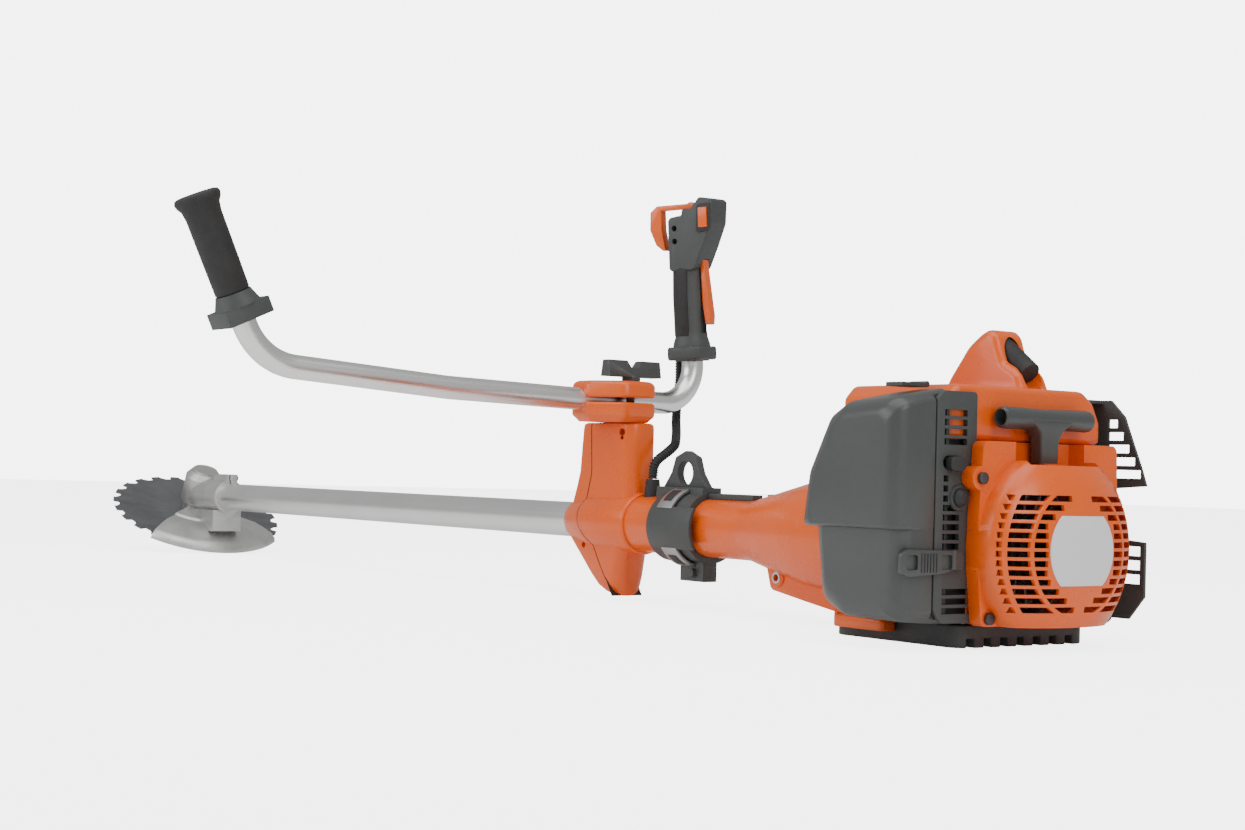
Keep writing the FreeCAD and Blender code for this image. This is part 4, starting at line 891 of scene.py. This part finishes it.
def makePullHandle(p):
    x, y, level = p["place"]
    grip = lathe("pullHandleGrip", p["grip"], (x * mm, y, level * mm), (0, 1, 0), grey, 48)
    rings = []
    for z, halfX, halfY in p["stem"]:
        corners = [(-halfX, -halfY), (halfX, -halfY), (halfX, halfY), (-halfX, halfY)]
        rings.append([Vector((x + a, b, z)) * mm for a, b in roundCorners(corners, p["corner"], 5)])
    stem = ringLoft("pullStem", rings, grey)
    combine(grip, [stem])
    socket = lathe("gripSocket", p["socket"], (x * mm, p["socketSide"] * mm, level * mm), (0, 1, 0), grey, 32)
    combine(grip, [socket], "DIFFERENCE")
    doneFor(softenEdges(grip, p["edge"], 2, 40), "pull_handle")


makePullHandle(pullShape)

# side latch of the filter cover

latchShape = dict(
    level=(80.6, 84.8), edge=0.7, corner=2.5,
    outline=[(-146, 57.5), (-139, 55), (-104, 57), (-92, 60), (-83, 60), (-83, 72), (-92, 74), (-139, 75),
             (-146, 72)],
    windows=((-141, -130), (-106, -95)), windowHeight=(60, 71), windowCorner=1.5, windowCut=(82.5, 90),
    ribs=6, ribStart=(84.9, -125.5, 65.0), ribStep=(0, 3.0, 0), ribSize=(1.6, 1.4, 14), ribEdge=0.35,
    barrelRadius=2.6, barrelLength=14, barrelPlace=(0.083, -0.092, 0.060),
)


def makeSideLatch(s):
    arm = prism("sideLatchArm", roundCorners(s["outline"], s["corner"], 4), "x", *s["level"], grey, s["edge"])
    low, high = s["windowHeight"]
    windows = []
    for a, b in s["windows"]:
        hole = roundCorners([(a, low), (b, low), (b, high), (a, high)], s["windowCorner"], 3)
        windows.append(prism("latchWindow", hole, "x", *s["windowCut"], grey))
    combine(arm, windows, "DIFFERENCE")
    ribs = row("latchRibs", s["ribs"], s["ribStart"], s["ribStep"], s["ribSize"], grey)
    softenEdges(ribs, s["ribEdge"], 2)
    barrel = rodTool("latchBarrel", s["barrelRadius"], 0, s["barrelLength"], s["barrelPlace"], (0, 0, 1), 24, grey)
    doneFor(gather("sideLatchArm", [arm, ribs, barrel]), "cover_latch_side")


makeSideLatch(latchShape)

# handle tower: lofted body cut along its seam

towerShape = dict(
    slices=[  # height, front, rear, half width
        (4, -453, -444, 5), (5, -460, -441, 9), (8, -468, -439, 13.5), (14, -477, -437.5, 16.5),
        (24, -487, -436.5, 18.4), (36, -499, -435, 19), (46, -510, -433, 19), (56, -521, -428, 19),
        (64, -529, -424, 19), (76, -532, -422, 19), (86, -524, -422, 19), (98, -519, -423, 19),
        (110, -514.5, -424, 19), (124, -510, -424.5, 19), (146, -508, -424.5, 19), (166, -506, -424.5, 19),
        (170.5, -505, -425, 18.6), (172, -502, -427, 17)],
    frontRadius=9, rearRadius=15, widthShare=0.9, lengthShare=0.47, edge=0.9,
    seam=[(-487.1, 178), (-484, 122), (-497, 80), (-443.3, -2)], gap=0.6, seamRadii=[0, 30, 25, 0, 0, 0],
    rearLimit=-400, frontLimit=-560, sideLimit=60,
    boss=[(0, 0), (0, 18), (2, 20.5), (10, 23.5), (32, 28), (42, 30), (109, 30), (111, 29.4), (112, 28.4), (112, 0)],
    bossPlace=(-0.530, 0, 0.075),
    bores=[  # name, radius, length, place in metres, direction, steps
        ("tubeBore", 17.6, 200, (-0.56, 0, 0.075), (1, 0, 0), 96),
        ("sleeveSeat", 27, 200, (-0.478, 0, 0.075), (1, 0, 0), 96),
        ("sideHole", 3, 30, (-0.495, -0.03, 0.0515), (0, 1, 0), 24),
        ("keyHole", 3.6, 16, (-0.433, -0.024, 0.163), (-0.5, 0.86, 0), 24),
        ("keySlot", 2, 16, (-0.433, -0.024, 0.1575), (-0.5, 0.86, 0), 24)],
)


def seamRegion(name, t, side):
    # Everything on one side of the seam.
    shifted = [(x + side * t["gap"], z) for x, z in t["seam"]]
    far = t["rearLimit"] if side > 0 else t["frontLimit"]
    points = shifted + [(far, shifted[-1][1]), (far, shifted[0][1])]
    return prism(name, roundCorners(points, t["seamRadii"], 8), "y", -t["sideLimit"], t["sideLimit"], orange)


def twin(body, name):
    # Copy of a body under another name.
    half = body.copy()
    half.data = body.data.copy()
    half.name = name
    bpy.context.scene.collection.objects.link(half)
    return half


def makeTower(t):
    rings = []
    for z, front, rear, half in t["slices"]:
        corners = [(front, -half), (rear, -half), (rear, half), (front, half)]
        most = half * t["widthShare"]
        nose, tail = min(t["frontRadius"], most), min(t["rearRadius"], most, (rear - front) * t["lengthShare"])
        rings.append([Vector((x, y, z)) * mm for x, y in roundCorners(corners, [nose, tail, tail, nose], 7)])
    body = ringLoft("towerBody", rings, orange)
    boss = lathe("towerBoss", t["boss"], t["bossPlace"], (1, 0, 0), orange, 96)
    combine(body, [boss])
    bores = [rodTool(label, radius, 0, length, place, way, steps)
             for label, radius, length, place, way, steps in t["bores"]]
    combine(body, bores, "DIFFERENCE")
    for label, side, node in (("towerRearHalf", 1, "tower_rear"), ("towerFrontHalf", -1, "tower_front")):
        half = combine(twin(body, label), [seamRegion(label + "Region", t, side)], "INTERSECT")
        doneFor(softenEdges(half, t["edge"], 2, 50), node)
    bpy.data.objects.remove(body)


makeTower(towerShape)

# harness band: near-side pad and the two links that close the ring, with dark plates on the links as painted shade
# in their windows

bandPlates = [  # name, start, end, angles, radii, material
    ("bandPad", -368, -305, (-34, 31), (33, 36.6), greySatin),
    ("bandTopLink", -359, -337, (28, 72), (34.2, 37.4), strapSteel),
    # painted shade: dark plate laid over the top link's window
    ("bandTopWindowShade", -354, -342, (40, 64), (36.6, 38), greyDark),
    ("bandLowLink", -352, -330, (-78, -31), (34.2, 37.4), strapSteel),
    # painted shade: dark plate laid over the lower link's window
    ("bandLowWindowShade", -347, -335, (-66, -44), (36.6, 38), greyDark),
]
bandEdge = 0.6


def arcPlate(name, start, end, angles, radii, material, steps=14):
    # Plate bent round the shaft; angles in degrees up from the -Y side.
    rings = []
    for k in range(steps + 1):
        a = math.radians(angles[0] + (angles[1] - angles[0]) * k / steps)
        way = Vector((0, -math.cos(a), math.sin(a)))
        corners = ((start, radii[0]), (end, radii[0]), (end, radii[1]), (start, radii[1]))
        rings.append([(Vector((x, 0, shaft["level"])) + way * r) * mm for x, r in corners])
    return softenEdges(ringLoft(name, rings, material), bandEdge, 2, 40)


band = gather("bandPad", [arcPlate(*plate) for plate in bandPlates])
done(band, "harness_band", nodeSlot["band_clamp"])

# rubber inserts on the throttle handle

handleTwist = 20
handleTurn = riserTilt @ Matrix.Rotation(math.radians(handleTwist), 3, "Z")


def onHandle(obj):
    # Moves vertices given in the handle's own frame, whose origin is on the bar's level.
    for vert in obj.data.vertices:
        vert.co = (rightFoot * mm) + handleTurn @ vert.co
    return obj


insertShape = dict(
    profile=[(68, 0), (68, 15.9), (70, 16.9), (110, 17.6), (136, 16.9), (138, 15.9), (138, 0)],
    side=[(-25, -25), (6, -25), (6, -3), (-25, 3)], height=(60, 150), edge=0.5,
)


def makeInserts(s):
    sleeve = lathe("gripInsert", s["profile"], (0, 0, 0), (0, 0, 1), blackRubber, 64)
    combine(sleeve, [prism("insertSide", s["side"], "z", *s["height"], blackRubber)], "INTERSECT")
    softenEdges(sleeve, s["edge"], 2, 40)
    done(onHandle(sleeve), "handlebar", nodeSlot["left_grip"])


makeInserts(insertShape)
print("small pieces ready")

# clutch housing: turned sleeve and cone, arm with its lug, skid plate

housingShape = dict(
    profile=[(-478, 17.6), (-478, 26.2), (-477, 27), (-262, 27), (-254, 27.2), (-247, 28.2), (-239, 30.2),
             (-220, 34.4), (-200, 38.8), (-180, 43), (-165, 45.6), (-150, 47.2), (-130, 48.8), (-110, 49.7),
             (-95, 50), (-52, 50), (-50, 49), (-50, 45), (-95, 45), (-97, 20), (-256, 20), (-262, 17.6),
             (-478, 17.6)],
    level=0.075, edge=0.7,
    arm=[(-226, 54), (-217, 25), (-168, 17), (-110, 8.2), (-110, 30), (-130, 40)], armRadii=[6, 7, 10, 2, 4, 8],
    armHalf=13, armEdge=2.0,
    skid=[(-110, -33), (-72, -68), (-50, -88), (4, -88), (4, -72.8), (-61.5, -72.8), (-70.8, -64.3),
          (-70.8, 22), (-110, 22)],
    skidRadii=[6, 8, 8, 4, 0, 3, 3, 0, 6], skidLevel=(8, 17), skidEdge=1.6,
    lug=(-206, 36), lugBoss=[(0, 0), (0, 7), (1, 8), (29, 8), (30, 7), (30, 0)], lugStart=-0.015, lugHole=3.05,
    lugHoleStart=-0.03, lugHoleLength=60, ringStart=-0.0148,
    lugRing=[(0, 3.3), (0, 5.4), (1.2, 5.0), (1.2, 3.3), (0, 3.3)],
    rib=[(-236, 33), (-226, 33.5), (-160, 49.2), (-160, 40), (-236, 25)], ribHalf=2.2,
    rooms=[  # name, radius, length, start in metres, steps
        ("tubeRoom", 17.55, 222, -0.48, 96), ("drumRoom", 42, 48, -0.0965, 64)],
)


def makeHousing(h):
    lugX, lugZ = (c * mm for c in h["lug"])
    body = lathe("clutchHousingSkin", h["profile"], (0, 0, h["level"]), (1, 0, 0), orange, 128)
    armLine, skidLine = roundCorners(h["arm"], h["armRadii"], 5), roundCorners(h["skid"], h["skidRadii"], 5)
    arm = prism("housingArm", armLine, "y", -h["armHalf"], h["armHalf"], orange, h["armEdge"])
    skid = prism("skidPlate", skidLine, "z", *h["skidLevel"], orange, h["skidEdge"])
    boss = lathe("lugBoss", h["lugBoss"], (lugX, h["lugStart"], lugZ), (0, 1, 0), orange, 40)
    rib = prism("coneRib", h["rib"], "y", -h["ribHalf"], h["ribHalf"], orange)
    for vert in rib.data.vertices:
        vert.co.z += h["level"]
    combine(body, [arm, skid, boss, rib])
    holes = [rodTool("lugHole", h["lugHole"], 0, h["lugHoleLength"], (lugX, h["lugHoleStart"], lugZ), (0, 1, 0))]
    holes += [rodTool(label, radius, 0, length, (start, 0, h["level"]), (1, 0, 0), steps)
              for label, radius, length, start, steps in h["rooms"]]
    combine(body, holes, "DIFFERENCE")
    doneFor(softenEdges(body, h["edge"], 2, 48), "clutch_housing")
    ring = lathe("lugRing", h["lugRing"], (lugX, h["ringStart"], lugZ), (0, -1, 0), brightSteel, 40)
    done(ring, "root", "bright_steel")


makeHousing(housingShape)

# handlebar clamp: base and cap

clampShape = dict(
    outline=[(-487, -46), (-457, -46), (-424, -24), (-424, 16), (-487, 16)], corners=[7, 9, 12, 10, 8],
    middle=(-456, -14), reach=31, edge=0.6,
    base=[(172.4, 5), (174.5, 3.4), (178, 0.6), (180, 0), (189.6, 0), (191.4, 1.6)],
    cap=[(196.4, 1.6), (198, 0), (207.5, 0), (210, 1), (211.6, 2.6), (212.4, 4.6)],
    seatRadius=11.06, seatStart=-0.06, seatLength=90, knobX=-449.0, screwRadius=4.3, screwStart=0.165,
    screwLength=60,
)


def clampHalf(name, levels, c):
    # One half from its levels, each with how far it is drawn in.
    rings = []
    for z, inset in levels:
        share = 1 - inset / c["reach"]
        shrunk = [tuple(m + (p - m) * share for p, m in zip(point, c["middle"])) for point in c["outline"]]
        rings.append([Vector((x, y, z)) * mm for x, y in roundCorners(shrunk, c["corners"], 6)])
    body = ringLoft(name, rings, orange)
    seatPlace = (bar["x"] * mm, c["seatStart"], bar["level"] * mm)
    screwPlace = (c["knobX"] * mm, 0, c["screwStart"])
    seat = rodTool("barSeat", c["seatRadius"], 0, c["seatLength"], seatPlace, (0, 1, 0), 64)
    screw = rodTool("screwRoom", c["screwRadius"], 0, c["screwLength"], screwPlace, (0, 0, 1))
    combine(body, [seat, screw], "DIFFERENCE")
    return softenEdges(body, c["edge"], 2, 50)


doneFor(clampHalf("clampBaseBody", clampShape["base"], clampShape), "clamp_base")
doneFor(clampHalf("clampCapBody", clampShape["cap"], clampShape), "clamp_cap")

# throttle handle: two halves, with foot, grip and head

throttleShape = dict(
    foot=[(-20, -19), (20, -19), (20, 19), (-20, 19)], footCorner=6, footHeight=(45, 58.6), footEdge=2.6,
    grip=[(44, 0), (44, 17), (58, 19), (62, 18.6), (68, 16.6), (76, 15.6), (108, 16.6), (138, 15.6),
          (148, 15.5), (148, 0)],
    head=[(-15, 135), (15, 135), (27, 160), (36, 181), (38, 205), (22, 208), (13, 197), (2, 197), (1, 191),
          (-15, 189)],
    headRadii=[4, 8, 8, 8, 5, 4, 2, 2, 2, 5], half=15.8, headEdge=4.2, edge=0.45,
    slot=(11.4, 26, 72, 146.2), leverHalf=5.6, seam=(0.56, -0.83), gap=0.08, reach=90, height=(20, 300),
    bores=[  # name, radius, start, end, place in metres, direction, steps
        ("barRoom", 11.02, -20, 140, (0, 0, 0), (0, 0, 1), 72),
        ("pivotRoom", 4.5, -6, 6, (0.006, 0, 0.2005), (0, 1, 0), 32),
        ("headHole", 3, 0, 8, (-0.007, -0.0165, 0.178), (0, 1, 0), 24),
        ("headHole", 3, 0, 8, (-0.007, -0.0165, 0.165), (0, 1, 0), 24)],
    switch=[(19, 172), (36, 174), (36.5, 201), (21, 201)], switchCorner=3, switchSide=(-17.2, -15.4),
    switchEdge=0.5,
)


def halfSpace(name, side, t):
    # Everything on one side of the handle's seam.
    a, b = Vector(t["seam"]).normalized(), Vector((-t["seam"][1], t["seam"][0])).normalized()
    near, far = a * t["gap"] * side, a * t["reach"] * side
    corners = [b * t["reach"] + near, b * -t["reach"] + near, b * -t["reach"] + far, b * t["reach"] + far]
    return prism(name, [tuple(p) for p in corners], "z", *t["height"], greySatin)


def makeThrottleHandle(t):
    body = lathe("throttleBody", t["grip"], (0, 0, 0), (0, 0, 1), greySatin, 72)
    footLine = roundCorners(t["foot"], t["footCorner"], 5)
    foot = prism("throttleFoot", footLine, "z", *t["footHeight"], greySatin, t["footEdge"], 4)
    headLine = roundCorners(t["head"], t["headRadii"], 5)
    head = prism("throttleHead", headLine, "y", -t["half"], t["half"], greySatin, t["headEdge"], 4, 50)
    combine(body, [foot, head])
    low, high, start, end = t["slot"]
    wide = t["leverHalf"]
    room = prism("leverRoom", [(low, -wide), (high, -wide), (high, wide), (low, wide)], "z", start, end, greySatin)
    combine(body, [room] + [rodTool(*bore, greySatin) for bore in t["bores"]], "DIFFERENCE")
    for label, side, node in (("throttleOuterHalf", 1, "throttle_handle_outer"),
                              ("throttleInnerHalf", -1, "throttle_handle_inner")):
        half = combine(twin(body, label), [halfSpace(label + "Side", side, t)], "INTERSECT")
        softenEdges(half, t["edge"], 2, 50)
        doneFor(onHandle(half), node)
    bpy.data.objects.remove(body)
    switchLine = roundCorners(t["switch"], t["switchCorner"], 4)
    surround = prism("switchSurround", switchLine, "y", *t["switchSide"], greyDark, t["switchEdge"])
    done(onHandle(surround), "handlebar", nodeSlot["throttle_handle_outer"])


makeThrottleHandle(throttleShape)

# left grip

gripProfile = [(0, 11.02), (0, 14.4), (1.5, 15.4), (30, 15.7), (70, 16), (78, 17.2), (82.5, 20), (86, 20.8),
               (89, 19.6), (90, 17), (90, 0), (82.2, 0), (82.2, 11.02), (0, 11.02)]
leftGrip = lathe("leftGripRubber", gripProfile, leftGripBase * mm, leftUp, blackRubber, 80)
doneFor(leftGrip, "left_grip")
print("handles ready")

floorShape = dict(half=8, level=-0.0005, shade=0.94, lowGlow=0.1, cameraGlow=4.0)


def makeFloor(s):
    floorMat = plastic("paleFloor", (s["shade"],) * 3, 0.6, grain=0.00001, spread=0.005)
    tree = floorMat.node_tree
    floorShader = tree.nodes["Principled BSDF"]
    floorShader.inputs["Emission Color"].default_value = (1, 1, 1, 1)
    cameraRays = tree.nodes.new("ShaderNodeLightPath")
    glow = tree.nodes.new("ShaderNodeMapRange")
    glow.inputs["To Min"].default_value = s["lowGlow"]
    glow.inputs["To Max"].default_value = s["cameraGlow"]
    tree.links.new(cameraRays.outputs["Is Camera Ray"], glow.inputs["Value"])
    tree.links.new(glow.outputs["Result"], floorShader.inputs["Emission Strength"])
    a, z = s["half"], s["level"]
    return newPiece("floor", [(-a, -a, z), (a, -a, z), (a, a, z), (-a, a, z)], [(0, 1, 2, 3)], floorMat)


makeFloor(floorShape)
